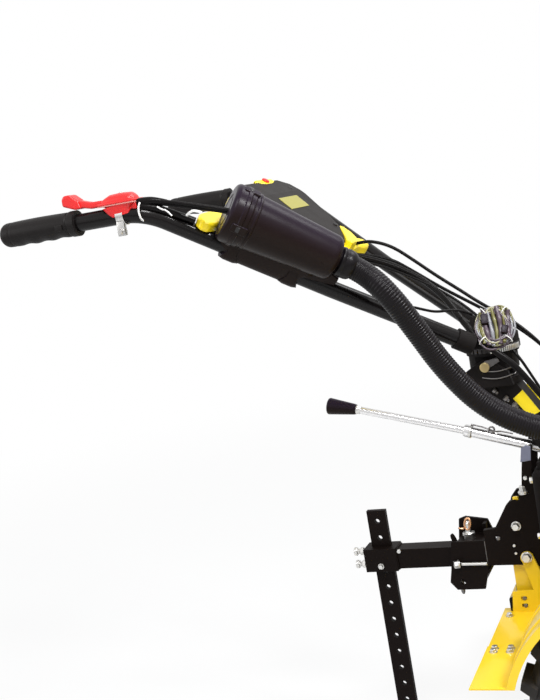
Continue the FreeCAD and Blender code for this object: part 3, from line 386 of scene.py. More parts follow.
def skin(grid, capped=True):
    """Quads between rings of grid[ring, step]; each ring closes on itself and flat faces close the ends."""
    rings, steps = grid.shape[:2]
    i = np.arange(rings - 1)[:, None] * steps
    j = np.arange(steps)[None, :]
    k = (j + 1) % steps
    faces = np.stack([i + j, i + k, i + steps + k, i + steps + j], axis=-1).reshape(-1, 4).tolist()
    if capped:
        faces.append(list(range(steps - 1, -1, -1)))
        faces.append(list(range((rings - 1) * steps, rings * steps)))
    return grid.reshape(-1, 3), faces


def ringed(grid):
    """As skin, for a grid whose last ring meets its first, as on a closed loop."""
    rings, steps = grid.shape[:2]
    i = np.arange(rings)[:, None]
    j = np.arange(steps)[None, :]
    a = i * steps
    b = ((i + 1) % rings) * steps
    k = (j + 1) % steps
    faces = np.stack([a + j, a + k, b + k, b + j], axis=-1).reshape(-1, 4).tolist()
    return grid.reshape(-1, 3), faces


def joined(shells):
    """Several skins as one list of points and faces."""
    points = np.concatenate([s[0] for s in shells])
    starts = np.cumsum([0] + [len(s[0]) for s in shells[:-1]])
    faces = [[int(n + start) for n in face] for s, start in zip(shells, starts) for face in s[1]]
    return points, faces


def turned(profile, start, direction, sides=40):
    """A profile of (distance, radius) pairs turned about the line from start along direction."""
    p = np.asarray(profile, float)
    first, second = square_to(direction)
    a = turns(sides)
    spoke = np.cos(a)[:, None] * first + np.sin(a)[:, None] * second
    grid = np.asarray(start, float) + p[:, 0, None, None] * unit(direction) + p[:, 1, None, None] * spoke
    return skin(grid)


def hoop(profile, centre, direction, sides=56):
    """A closed section of (distance, radius) pairs carried once round a line."""
    first, second = square_to(direction)
    p = np.asarray(profile, float)
    a = turns(sides)[:, None, None]
    spoke = np.cos(a) * first + np.sin(a) * second
    return ringed(np.asarray(centre, float) + p[None, :, 1, None] * spoke + p[None, :, 0,
            None] * unit(direction))


def rings(line, run, side, wide, high):
    """Rings round a line: its points plus high of one direction and wide of another, square to its run."""
    first = unit(np.cross(run, side))
    second = np.cross(run, first)
    return line[:, None] + high[..., None] * first[:, None] + wide[..., None] * second[:, None]


def swept(line, radius, sides=16, side=LEFTWARD):
    """A round skin along a line: width radius times sin a and height radius times cos a."""
    a = turns(sides)
    r = np.reshape(radius, (-1, 1))
    return skin(rings(line, unit(np.gradient(line, axis=0)), side, r * np.sin(a), r * np.cos(a)))


def looped(line, radius, sides=10, side=UP):
    """As swept, on a line that meets itself."""
    a = turns(sides)
    r = np.reshape(radius, (-1, 1))
    run = unit(np.roll(line, -1, axis=0) - np.roll(line, 1, axis=0))
    return ringed(rings(line, run, side, r * np.sin(a), r * np.cos(a)))


def squared_off(a, power):
    """Cosine and sine of a, each to the 2/power with its sign kept."""
    return [np.sign(v) * np.abs(v) ** (2 / power) for v in (np.cos(a), np.sin(a))]


def limb(line, wide, high, sides=28, power=2.5, side=LEFTWARD):
    """A squared-off skin on a line: half-width times |cos a|, half-height times |sin a|, to the 2/power."""
    c, s = squared_off(turns(sides), power)
    run = unit(np.gradient(line, axis=0))
    return skin(rings(line, run, side, np.reshape(wide, (-1, 1)) * c, np.reshape(high, (-1, 1)) * s))


def slab(outline, low, high, origin, along, across, over):
    """A raised outline: origin plus a of one direction, b of another and either height of the third."""
    ab = np.asarray(outline, float)
    flat = ab[:, :1] * np.asarray(along, float) + ab[:, 1:] * np.asarray(across, float)
    levels = [flat + level * np.asarray(over, float) for level in (low, high)]
    return skin(np.stack(levels) + np.asarray(origin, float))


def upright(outline, y0, y1):
    """A plate cut to an outline of (x, z) pairs, standing between two planes across the machine."""
    return slab(outline, y0, y1, (0, 0, 0), FORWARD, UP, LEFTWARD)


def on_console(outline, low, high):
    """A slab on the fall of the two tubes: distances down the fall and across it, heights square to it."""
    return slab(outline, low, high, CONSOLE, SLOPE, ACROSS, LIFT)


def console_point(s, y, h):
    """A place on the fall of the two tubes: down the fall, across it and square to it."""
    return CONSOLE + SLOPE * s + ACROSS * y + LIFT * h


def oval(centre, along, across, reach, width, count=48, start=0):
    """A closed oval: centre plus reach times cos t of one direction and width times sin t of another."""
    t = turns(count)[:, None] + start
    return np.asarray(centre, float) + reach * np.cos(t) * unit(along) + width * np.sin(t) * unit(across)


def graded(count, places, values):
    """Values at even steps along a line, straight between those given at places from 0 to 1."""
    return np.interp(np.linspace(0, 1, count), places, values)


def block(low, high, r, turn=None, centre=None, steps=5):
    """A box with round edges: the box's core corner in each direction's octant plus r times the direction."""
    low = np.asarray(low, float)
    high = np.asarray(high, float)
    q = quarter(steps)
    a = np.concatenate([q + k * math.pi / 2 for k in range(4)])
    corner = np.repeat(np.arange(4), steps)
    sx = np.where((corner == 0) | (corner == 3), 1, -1)
    sy = np.where(corner < 2, 1, -1)
    e = np.concatenate([q - math.pi / 2, q])
    sz = np.repeat([-1, 1], steps)
    core = (high - low) / 2 - r
    x = sx * core[0] + r * np.cos(e)[:, None] * np.cos(a)
    y = sy * core[1] + r * np.cos(e)[:, None] * np.sin(a)
    z = np.broadcast_to((sz * core[2] + r * np.sin(e))[:, None], x.shape)
    grid = np.stack([x, y, z], axis=-1)
    if turn is not None:
        grid = grid @ np.array(turn).T
    return skin(grid + ((low + high) / 2 if centre is None else np.asarray(centre, float)))


def turn_to(x_axis, z_axis):
    """The turn that takes X to x_axis and Z near z_axis, as a 3 by 3 matrix."""
    x = unit(x_axis)
    y = unit(np.cross(z_axis, x))
    return np.column_stack([x, y, np.cross(x, y)])


def smooth_line(route, count):
    """Points at even distances on the NURBS line that has the route's points as its control points."""
    data = bpy.data.curves.new("line", "CURVE")
    data.dimensions = "3D"
    spline = data.splines.new("NURBS")
    spline.points.add(len(route) - 1)
    spline.points.foreach_set("co", np.column_stack([route, np.ones(len(route))]).ravel())
    spline.order_u = 3
    spline.use_endpoint_u = True
    spline.resolution_u = 32
    holder = bpy.data.objects.new("line", data)
    mesh = bpy.data.meshes.new_from_object(holder)
    flat = np.empty(len(mesh.vertices) * 3)
    mesh.vertices.foreach_get("co", flat)
    line = flat.reshape(-1, 3)
    bpy.data.objects.remove(holder)
    bpy.data.curves.remove(data)
    bpy.data.meshes.remove(mesh)
    run = np.concatenate([[0], np.cumsum(np.linalg.norm(np.diff(line, axis=0), axis=1))])
    where = np.linspace(0, run[-1], count)
    return np.column_stack([np.interp(where, run, line[:, k]) for k in range(3)])


def hex_head(place, direction, flats, height, washer=0):
    """A hexagonal head with a chamfered top, on a round washer."""
    r = flats / math.sqrt(3)
    start = np.asarray(place, float)
    shells = []
    lift = 0
    if washer:
        lift = flats * 0.13
        shells.append(turned([(-1, washer), (lift * 0.8, washer), (lift, washer * 0.95), (lift, r * 0.5)],
                             start, direction, 24))
    head = [(lift - 0.5, r), (lift + height * 0.8, r), (lift + height, r * 0.86), (lift + height, r * 0.3)]
    shells.append(turned(head, start, direction, 6))
    return shells


def bolts_of(*rows):
    """Heads from rows of place, direction, flats, height and, if any, washer."""
    return [shell for row in rows for shell in hex_head(*row)]


def heads(places, direction, flats, height, washer=0):
    """One head at each place."""
    return [shell for place in places for shell in hex_head(place, direction, flats, height, washer)]


def studs(place, direction, flats, height, reach, washer=0):
    """A nut on a threaded end: the thread is a fine wave along the shank."""
    s = np.linspace(0, reach, max(12, int(reach * 5)))
    shank = np.column_stack([s, flats * 0.29 + 0.16 * np.sin(s * TAU / THREAD_PITCH)])
    end = np.array([[reach + 0.5, flats * 0.2]])
    return hex_head(place, direction, flats, height,
                    washer) + [turned(np.vstack([shank, end]), place, direction, 20)]


def wire(route, radius, count=60, sides=12):
    """A round wire on the smooth line through its control points."""
    return swept(smooth_line(route, count), radius, sides)


def pan_head(place, direction, r, height):
    """A round head with a domed top and a small socket."""
    t = quarter(6)
    dome = [(height * (0.35 + 0.65 * math.sin(v)), r * (0.42 + 0.58 * math.cos(v))) for v in t]
    return turned([(-0.5, r)] + dome + [(height * 0.55, r * 0.38), (height * 0.5, r * 0.1)], place,
                  direction, 20)


# ---- pieces --------------------------------------------------------------------------------
def to_mesh(name, points, faces):
    """Millimetres from the axle to a mesh in metres in the row frame, doubles merged and faces outwards."""
    mesh = bpy.data.meshes.new(name)
    placed = (np.asarray(points) + [AXLE.x * 1000, 0, 0]) / 1000
    mesh.from_pydata(placed.tolist(), [], faces)
    work = bmesh.new()
    work.from_mesh(mesh)
    bmesh.ops.remove_doubles(work, verts=work.verts, dist=2e-6)
    bmesh.ops.recalc_face_normals(work, faces=work.faces)
    work.to_mesh(mesh)
    work.free()
    return mesh


def dress(obj, material, bevel, sharp, segments=2):
    """Smooth faces with sharp edges kept, a small round on them, and one finish."""
    obj.data.shade_smooth()
    obj.data.set_sharp_from_angle(angle=math.radians(sharp))
    obj.data.materials.clear()
    obj.data.materials.append(material)
    if bevel:
        edge = obj.modifiers.new("edge", "BEVEL")
        edge.width = bevel / 1000
        edge.segments = segments
        edge.limit_method = "ANGLE"
        edge.angle_limit = math.radians(sharp)
        edge.harden_normals = True


def piece(name, body, material, shells, stands_for=(), bevel=0, sharp=35, segments=2):
    """A new piece from skins, riding on a body."""
    mesh = to_mesh(name, *joined(shells))
    obj = bpy.data.objects.new(name, mesh)
    bpy.context.scene.collection.objects.link(obj)
    dress(obj, material, bevel, sharp, segments)
    if body:
        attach(obj, body)
    if stands_for:
        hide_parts(*stands_for)
    return obj


def refined(node, material, bevel=0.6, sharp=30, segments=2):
    """A carried-over solid as one merged skin with rounded edges, in its own finish."""
    source = frame["nodes"][node]
    mesh = source.data.copy()
    work = bmesh.new()
    work.from_mesh(mesh)
    bmesh.ops.remove_doubles(work, verts=work.verts, dist=2e-6)
    bmesh.ops.dissolve_limit(work, angle_limit=math.radians(0.6), verts=work.verts, edges=work.edges)
    work.to_mesh(mesh)
    work.free()
    obj = bpy.data.objects.new(node + "_skin", mesh)
    bpy.context.scene.collection.objects.link(obj)
    dress(obj, material, bevel, sharp, segments)
    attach(obj, source["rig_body"])
    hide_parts(node)
    return obj


def carried_over():
    """Solids whose shape is right keep it, with softened edges and their real finish."""
    for side in ("left", "right"):
        refined("tyre_" + side, TYRE_RUBBER, 1.2, 24)
        for node, edge in (("rim_", 1.2), ("fender_", 0.6), ("fender_stay_", 1)):
            refined(node + side, YELLOW_PAINT, edge)
        refined("hitch_plate_" + side, BLACK_GLOSS, 1.2)
        refined("handle_tube_" + side, BLACK_TUBE, 0)
    finishes = (
        (BLACK_CAST, "black_casting", {"gearbox_case": 2, "column_base": 2, "column_head": 1.2, "yoke": 1.5}),
        (ZINC, "zinc_steel", {"axle_shaft": 0.8}),
        (DARK_STEEL, "zinc_steel", {"serrated_ring": 0.3}),
        (BRASS, "zinc_steel", {"tilt_bolt": 1}),
        (CHROME, "zinc_steel", {"gear_lever": 0.5}),
        (BLACK_PLASTIC, "black_plastic", {"lock_knob": 2, "fuel_cap": 1.5, "filter_saddles": 1}),
        (BLACK_TUBE, "black_paint", {"front_bumper": 0, "front_stand": 0, "clutch_lever": 0.8}),
        (BLACK_GLOSS, "black_paint", {"engine_bed": 1.5, "tank_bracket": 1, "console_straps": 1}),
        (BLACK_GLOSS, "black_paint", {"hitch_bracket": 1.4, "drawbar": 1.6, "stake_clamp": 1.2,
                                      "drag_stake": 0.8}),
        (CAST_ALLOY, "engine_casting", {"engine_block": 1, "carburettor": 0.8}),
        (BARE_ALLOY, "engine_casting", {"cylinder": 0.5}),
        (ENGINE_BLACK, "engine_cover", {"valve_cover": 1, "fan_shroud": 2, "recoil_starter": 1.2,
                                        "muffler": 0.8}),
        (YELLOW_PAINT, "tank_paint", {"fuel_tank": 0.8}),
    )
    for material, slot, nodes in finishes:
        for node, edge in nodes.items():
            refined(node, material, edge)
    refined("console_tray", YELLOW_PLASTIC, 7, 30, 4)
    refined("console_lid", LID_PLASTIC, 7, 30, 4)


def fixings(name, body, shells, material=ZINC):
    """Bolts and other small bright metal, with a fine round on the edges."""
    piece(name, body, material, shells, (), 0.2)


def grip(side):
    """Rubber grip: a slightly barrelled sleeve with three finger hollows, a rounded end and a collar."""
    s = np.concatenate([np.linspace(0, 12, 14), np.linspace(13, GRIP_LEN, 150)])
    a = turns(48)
    nose = np.sqrt(np.clip(1 - (1 - np.clip(s / 15, 0, 1)) ** 2, 0, 1))
    barrel = 19.6 + 1.1 * np.sin(np.pi * np.clip((s - 10) / 120, 0, 1))
    seam = 0.9 * np.exp(-((s - 24) / 1.3) ** 2) + 1.4 * np.exp(-((s - 132) / 1.6) ** 2)
    collar = 1 * (s > 133.5)
    waves = 0.5 - 0.5 * np.cos(TAU * np.clip((s - 34) / 31, 0, 3))
    under = np.clip(-np.sin(a), 0, 1) ** 1.5
    ribs = 0.25 * (np.sin(a * 24) > 0) * (np.abs(s - 78) < 48)[:, None]
    r = (barrel - seam + collar)[:, None] - 1.8 * waves[:, None] * under - ribs
    r = r * nose[:, None]
    y = side * HANDLE_Y + r * np.cos(a)
    z = HANDLE_Z + r * np.sin(a)
    x = np.broadcast_to((GRIP_END + s)[:, None], r.shape)
    return skin(np.stack([x, y, z], axis=-1))


def grips():
    """The two rubber grips."""
    for side, tag in SIDES:
        piece("moulded_grip_" + tag, "handlebar", GRIP_RUBBER, [grip(side)], ["grip_" + tag],
              0, 40)


def air_filter():
    """Canister in turned pieces: a shallow cap, a tapered body with two bands, a spigot and a rubber cuff."""
    start = BAR_TOP + FALL * FILTER_RUN + FILTER_OFF
    lean = unit(FALL + LIFT * FILTER_LEAN)
    top = FILTER_R + 2
    round_in = [(8 - 8 * math.cos(t), top - 8 + 8 * math.sin(t)) for t in quarter(8)]
    cap = [(0, 0), (0, 22), (1.2, 23.5), (1.2, 27), (0, 28.5)] + round_in
    cap += [(FILTER_CAP - 8, top), (FILTER_CAP - 7, top + 1.4), (FILTER_CAP - 1.2, top + 1.4),
            (FILTER_CAP, top + 0.2), (FILTER_CAP, 30)]
    piece("filter_cap_moulded", "handlebar", BLACK_PLASTIC, [turned(cap, start, lean, 96)], ["filter_cap"],
          0.5, 30)
    seam = start + lean * FILTER_CAP

    def wall(s):
        """The tapered wall's radius at a distance from the cap."""
        return FILTER_R + (FILTER_R1 - FILTER_R) * s / FILTER_LEN
    body = [(0, 30), (0, wall(0) + 1.6), (7, wall(7) + 1.6), (8.2, wall(8) + 0.2), (13, wall(13) + 0.2),
            (14, wall(14) + 1.3), (17, wall(17) + 1.3), (18.4, wall(18)), (60, wall(60)), (110, wall(110))]
    end = FILTER_LEN
    body += [(end - 12 + 12 * math.sin(t), wall(end) + 0.6 - 11 * (1 - math.cos(t))) for t in quarter(9)]
    body += [(end, 10)]
    piece("filter_body_moulded", "handlebar", BLACK_PLASTIC, [turned(body, seam, lean, 96)],
          ["filter_body"], 0.4, 30)
    out = seam + lean * end
    spigot = [(-1, 12), (-1, OUTLET_R - 1), (9, OUTLET_R - 1.2), (10, OUTLET_R), (19, OUTLET_R),
              (OUTLET_LEN, OUTLET_R - 1.5), (OUTLET_LEN, 12)]
    piece("filter_spigot", "handlebar", BLACK_PLASTIC, [turned(spigot, out, lean, 48)], ["filter_outlet"],
          0.4, 30)
    cuff = [(3, 18), (3, 21.5), (5, 23.8), (9, 24.2), (10.5, 23.2), (12, 23.2), (13.5, 24.2), (22, 23.6),
            (26, 22.6), (29, 20.6), (30, 17)]
    piece("filter_cuff", "handlebar", HOSE_RUBBER, [turned(cuff, out, lean, 56)], (), 0.4, 40)
    fore, over = square_to(lean)
    latches = []
    clips = []
    for angle in (-152, -62, 28, 118):
        spoke = math.cos(math.radians(angle)) * fore + math.sin(math.radians(angle)) * over
        turn = turn_to(lean, spoke)
        spot = seam + spoke * (FILTER_R + 1.4) - lean * 2
        latches.append(block((-13, -7, -2.4), (13, 7, 2.4), 1.8, turn, spot))
        spot = seam + spoke * (FILTER_R + 3.6) - lean * 4
        clips.append(block((-3, -4.5, -1), (3, 4.5, 1), 0.8, turn, spot))
    piece("filter_latches", "handlebar", BLACK_PLASTIC, latches, (), 0)
    piece("filter_latch_catches", "handlebar", ENGINE_BLACK, clips, (), 0)
    filter_saddle()
    return out + lean * OUTLET_LEN, lean


def filter_saddle():
    """Moulded bracket under the canister: a flat limb that wraps the tube, two lips and a rib behind."""
    over = unit(FILTER_OFF - FALL * float(np.dot(FILTER_OFF, FALL)))
    side = np.cross(over, FALL)

    def rib(run, low, high, wide, power=3.2):
        """A limb along the tube, from low to high off its line and as wide as given."""
        reach = (np.asarray(high, float) - np.asarray(low, float)) / 2
        middle = (np.asarray(high, float) + np.asarray(low, float)) / 2
        line = BAR_TOP + np.asarray(run, float)[:, None] * FALL + middle[:, None] * over
        return limb(line, np.asarray(wide, float), reach, 40, power, tuple(side))
    shells = [rib([137, 138, 142, 200, 262, 266, 267], [-13, -16, -17.5, -17.5, -17.5, -16, -13],
                  [22, 25, 40, 40, 40, 36, 30], [14, 16.5, 18, 18, 18, 16.5, 14])]
    for s in (150, 252):
        shells.append(rib([s - 9, s - 8, s + 8, s + 9], [-18.6, -19.4, -19.4, -18.6], [24, 24, 24, 24],
                          [18.6, 19.4, 19.4, 18.6]))
    shells.append(rib([262, 280, 300, 322], [-4, 0, 2, 6], [44, 42, 36, 26], [12, 11, 9, 6]))
    piece("filter_saddle_moulded", "handlebar", BLACK_PLASTIC, shells, (), 0, 40)


HOSE_ROUTE = [(-331, -190, 851), (-302, -170, 788), (-268, -153, 713), (-218, -136, 643), (-147, -126, 600),
              (-60, -135, 582), (30, -150, 582), (149.7, -150, 582)]


def corrugated(line, s, sides=36):
    """Hose skin whose radius is a squared-off wave along its length, 0.6 mm deep."""
    wave = np.clip(1.4 * np.cos(TAU * s / HOSE_PITCH), -1, 1)
    return swept(line, HOSE_R - 0.3 + 0.3 * wave, sides)


def intake_hose(start, lean):
    """One hose from the filter to the carburettor, cut in two where the column's head is."""
    route = np.array([tuple(start - lean * 6), tuple(start + lean * 26)] + HOSE_ROUTE)
    rough = smooth_line(route, 400)
    length = float(np.sum(np.linalg.norm(np.diff(rough, axis=0), axis=1)))
    ribs = int(length / HOSE_PITCH)
    count = ribs * 8 + 1
    line = smooth_line(route, count)
    s = np.linspace(0, ribs * HOSE_PITCH, count)
    meet = int(np.argmin(np.abs(line[:, 2] - HOSE_MEET_Z)) // 8 * 8)
    upper = piece("intake_hose_upper", None, HOSE_RUBBER, [corrugated(line[:meet + 1], s[:meet + 1])],
                  ["hose_upper"])
    lower = piece("intake_hose_lower", None, HOSE_RUBBER, [corrugated(line[meet:], s[meet:])],
                  ["hose_lower"])
    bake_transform(upper)
    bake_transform(lower)


def row(point):
    """A point in millimetres from the axle, in metres in the row frame."""
    return tuple((np.asarray(point, float) + [AXLE.x * 1000, 0, 0]) / 1000)


def control_cables():
    """From the console down past the column: two control cables, a harness sheath and a thin lead."""
    routes = []
    routes.append(([(-450, 46, 921), (-434, 45, 922), (-412, 43, 921), (-378, 42, 907), (-343, 42, 877),
                    (-309, 42, 846), (-270, 42, 814), (-240, 42, 788), (-170, 40, 737), (-112, 44, 655),
                    (-50, 58, 570), (40, 66, 532), (149.7, 66, 532)], CABLE_R))
    routes.append(([(-449.5, 52, 901.6), (-395, 52, 891), (-349, 52, 857), (-308, 53, 824), (-255, 54, 787),
                    (-170, 52, 729), (-112, 56, 655), (-50, 70, 570), (40, 78, 532), (149.7, 78, 532)],
                    CABLE_R))
    routes.append(([(-445, 34, 900), (-400, 34, 886), (-335, 24, 850), (-290, 2, 812), (-258, -34, 772),
                    (-236, -54, 747), (-212.5, -59, 724), (-182, -58, 697), (-164, -50, 668),
                    (-146, -44, 636), (-118, -40, 594), (-60, -42, 546), (40, -44, 534), (149.7, -44, 532)],
                    5.4))
    routes.append(([(-445, 30, 894), (-395, 28, 876), (-320, 12, 838), (-262, -4, 800), (-212.5, -14, 748),
                    (-176, -31, 705), (-158, -32, 668), (-138, -32, 626), (-112, -34, 580), (-60, -54, 540),
                    (40, -56, 536), (149.7, -56, 534)], 2.4))
    uppers = []
    lowers = []
    for route, r in routes:
        line = smooth_line(route, 260)
        meet = int(np.argmin(np.abs(line[:, 0] - CABLE_MEET_X)))
        uppers.append(swept(line[:meet + 1], r, 14))
        lowers.append(swept(line[meet:], r, 14))
    upper = piece("cable_set_upper", None, CABLE_BLACK, uppers, ["cables_upper"])
    lower = piece("cable_set_lower", None, CABLE_BLACK, lowers, ["cables_lower"])
    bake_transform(upper)
    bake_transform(lower)
    spare = wire([(-334, -114, 812), (-322, -104, 815), (-308, -88, 806), (-290, -74, 797),
                  (-270, -58, 795), (-252, -44, 790), (-240, -34, 780)], 2.3, 60)
    piece("thin_lead", "handlebar", CABLE_BLACK, [spare], ())


def throttle():
    """Thumb throttle: a slanted plate, a domed housing on a flange and a saddle, held by a steel band."""
    y = -HANDLE_Y
    lever = [(-797, 1069), (-796.5, 1080), (-792, 1085.5), (-781, 1085.5), (-768, 1074.5), (-748, 1068.5),
             (-726, 1068), (-726, 1058), (-748, 1058), (-764, 1061.5), (-775, 1060.5)]
    plate = [upright(lever[:5] + lever[-2:], y - 12, y + 12), upright(lever[4:], y - 8, y + 8)]
    piece("throttle_paddle", "handlebar", RED_PLASTIC, plate, ["throttle_lever"], 3.2, 20, 4)
    x = np.linspace(-729, -669, 36)
    crown = np.column_stack([x, np.full(36, y), np.full(36, 1062)])
    k = np.clip((x + 729) / 60, 0, 1)
    arch = np.interp(k, [0, 0.04, 0.14, 0.28, 0.60, 0.86, 0.95, 1], [2, 5, 8.5, 12.2, 13, 11.4, 7, 2.5])
    shells = [limb(crown, np.interp(k, [0, 0.08, 0.9, 1], [8, 16, 17, 9]), arch, 36, 2.4)]
    shells.append(block((-731, y - 20, 1058.6), (-667, y + 20, 1062.6), 1.8))
    foot = np.linspace(1040, 1057, 12)
    line = np.column_stack([np.linspace(-697, -699, 12), np.full(12, y), foot])
    shells.append(limb(line, np.linspace(14.5, 18.4, 12), np.linspace(17, 27, 12), 36, 5))
    shells.append(block((-690, y - 9, 1046), (-668, y + 9, 1058), 3))
    piece("throttle_moulded", "handlebar", RED_PLASTIC, shells, ())
    # The thin plate under the housing is pale: a painted highlight of the flange's edge
    piece("throttle_painted_seam_highlight", "handlebar", SEAM_HIGHLIGHT_PAINT,
          [block((-730.4, y - 19.4, 1056.9), (-667.6, y + 19.4, 1058.8), 0.7)], ())
    band = [hoop([(-6.5, TUBE_R + 0.2), (-6.5, TUBE_R + 1.8), (6.5, TUBE_R + 1.8), (6.5, TUBE_R + 0.2)],
                 (-698, y, HANDLE_Z), FORWARD)]
    band += [block((-705, -325, 1008), (-692, -322.6, 1031), 1),
             block((-705, -319.4, 1008), (-692, -317, 1029), 1)]
    band += bolts_of(((-698.5, -325, 1015), RIGHTWARD, 8, 4, 5.4),
                     ((-698.5, -317, 1015), LEFTWARD, 8, 4, 5.4))
    piece("throttle_band", "handlebar", ZINC, band, ["throttle_clamp"], 0.3)
    piece("throttle_screw", "handlebar", ZINC, [pan_head((-694, y, 1074.2), UP, 4.4, 1.6)], ())
    boot = smooth_line([(-671, y, 1054), (-655, y, 1055), (-638, y + 2, 1053), (-622, y + 5, 1048)], 30)
    shells = [swept(boot, graded(30, [0, 0.1, 0.5, 1], [6, 7.6, 6.4, 4]), 20)]
    for dy, dz in ((0, 0), (4, -4.5)):
        shells.append(wire([(-640, y + 1 + dy, 1053 + dz), (-618, y + 2 + dy, 1048 + dz),
                            (-590, y + 4 + dy, 1040 + dz), (-560, y + 8 + dy, 1031 + dz),
                            (-534, y + 12 + dy, 1023 + dz), (-512, y + 20, 1014 + dz)], CABLE_R, 60))
    shells.append(wire([(-664, y - 3, 1048), (-642, y - 1, 1044), (-618, y + 12, 1030),
                        (-592, y + 30, 1012)], 5.4, 50, 16))
    piece("throttle_cable_outer", "handlebar", CABLE_BLACK, shells, ["throttle_cable"])
    ties = [looped(oval((-662, y, 1040.5), (0, 0.15, 1), (0, 1, -0.1), 15.4, 15.2), 1.5, 8, FORWARD)]
    ties.append(wire([(-629, -325, 1043), (-620, -331, 1038), (-611, -333, 1036), (-603, -334, 1026)], 1.2,
                     30, 8))
    ties.append(wire([(-586, -318, 1023), (-576, -326, 1027), (-566, -330, 1028), (-555, -330, 1023)], 2,
                     30, 8))
    piece("throttle_ties", "handlebar", WHITE_TIE, ties, ())
    piece("grip_mark", "handlebar", GRIP_RUBBER, [block((-812, -332.4, 1032), (-799, -329.4, 1042), 1.2)],
          ())


def console_fittings():
    """Right arm of the tray with its ear over the tube, two lips, a stop button and the lid's screws."""
    arm = [(64, -96), (66, -236), (68, -262), (76, -282), (88, -290), (100, -284), (103, -262), (98, -236),
           (98, -100)]
    piece("tray_ear", "handlebar", YELLOW_PLASTIC, [on_console(arm, 12, 29)], (), 5, 30, 4)
    lip = [(43, -8), (48, -10), (58, -4), (61, 20), (60, 50), (55, 68), (45, 70), (42, 50), (42, 0)]
    front = [(200, 62), (208, 68), (228, 58), (244, 42), (252, 20), (252, -6), (240, -8), (226, 20)]
    shells = [on_console(lip, 30, 58.2), on_console(front, 24, 46)]
    piece("tray_lips", "handlebar", YELLOW_PLASTIC, shells, (), 3, 30, 3)
    button = [(0, 0), (0, 7), (3, 7), (4.5, 6), (5.2, 3.5), (5.4, 0)]
    piece("stop_button", "handlebar", RED_PLASTIC, [turned(button, console_point(50, 30, 57), LIFT, 28)],
          (), 0.3)
    places = [(82, -84), (82, 84), (196, -50), (196, 50)]
    screws = [pan_head(console_point(s, y, 57.4 if s < 92 else 46.2), LIFT, 4.2, 1.6) for s, y in places]
    piece("lid_screws", "handlebar", ENGINE_BLACK, screws, ())


def wire_loops():
    """Tied coil of spare wiring on the head: rings that wander from turn to turn, and leads across them."""
    centre = np.array([COLUMN_X + 18, -46, YOKE_TOP + 18.5])
    axis = unit([0.15, -0.85, 0.5])
    e1, e2 = square_to(axis)
    if e2[2] < 0:
        e2 = -e2
    t = turns(120)
    tags = ("tan", "purple", "grey", "olive", "purple", "tan")
    groups = {"tan": (WIRE_TAN, []), "grey": (WIRE_GREY, []), "purple": (WIRE_PURPLE, []),
              "olive": (WIRE_OLIVE, [])}
    for n in range(22):
        tag = tags[n % 6]
        r = 25 + 10.5 * ((n * 0.618) % 1) + 2.4 * np.sin(2 * t + n) + 1.2 * np.sin(3 * t + 2.3 * n)
        h = -5 + 9.5 * ((n * 0.382) % 1) + 2.2 * np.sin(t + 1.7 * n) + np.sin(2 * t + n)
        middle = centre + (3.2 * math.sin(1.3 * n)) * e1 + (3 * math.cos(2.1 * n)) * e2
        line = (middle + (r * 0.80 * np.cos(t))[:, None] * e1 + (r * np.sin(t))[:, None] * e2
                + h[:, None] * axis)
        groups[tag][1].append(looped(line, 1.2 if tag == "tan" else 1.8, 10, tuple(axis)))
    straps = ((-23, "purple", 3.6), (-15, "olive", 2.8), (-8, "purple", 4.2), (-1, "olive", 3),
              (6, "grey", 3.2), (13, "purple", 4.4), (20, "olive", 2.8))
    v = np.linspace(-1, 1, 40)
    for across, tag, r in straps:
        half = math.sqrt(34 ** 2 - across ** 2)
        line = (centre + (across + 2 * np.sin(2.2 * v + across))[:, None] * e1 + (half * v)[:, None] * e2
                + (3 + 1.5 * np.cos(3 * v + across))[:, None] * axis)
        groups[tag][1].append(swept(line, r * (1 - 0.12 * np.cos(9 * v)), 14, tuple(axis)))
    for tag, (material, shells) in groups.items():
        piece("wire_loops_" + tag, "handlebar", material, shells, ["wire_bundle"] if tag == "tan" else ())
    second_plug = centre - e1 * 16 - e2 * 10 + axis * 8
    plugs = [turned([(-9, 0), (-9, 21), (-7, 24), (-3, 24), (-2, 21), (-2, 0)], centre, axis, 48),
             block((-6, -9, -5), (6, 9, 5), 1.4, turn_to(e1, axis), centre + e1 * 14 + e2 * 12 + axis * 8),
             block((-5, -7, -4), (5, 7, 4), 1.2, turn_to(e1 + e2 * 0.3, axis), second_plug)]
    piece("wire_plugs", "handlebar", BLACK_PLASTIC, plugs, ())
    ties = []
    for angle in (1, 2.3, 3.9, 5.6):
        spot = centre + 33.5 * (math.cos(angle) * e1 * 0.80 + math.sin(angle) * e2)
        run = -math.sin(angle) * e1 + math.cos(angle) * e2
        ties.append(looped(oval(spot, axis, np.cross(run, axis), 8.6, 8.4, 32), 0.9, 8, tuple(run)))
    piece("wire_bands", "handlebar", WHITE_TIE, ties, ())


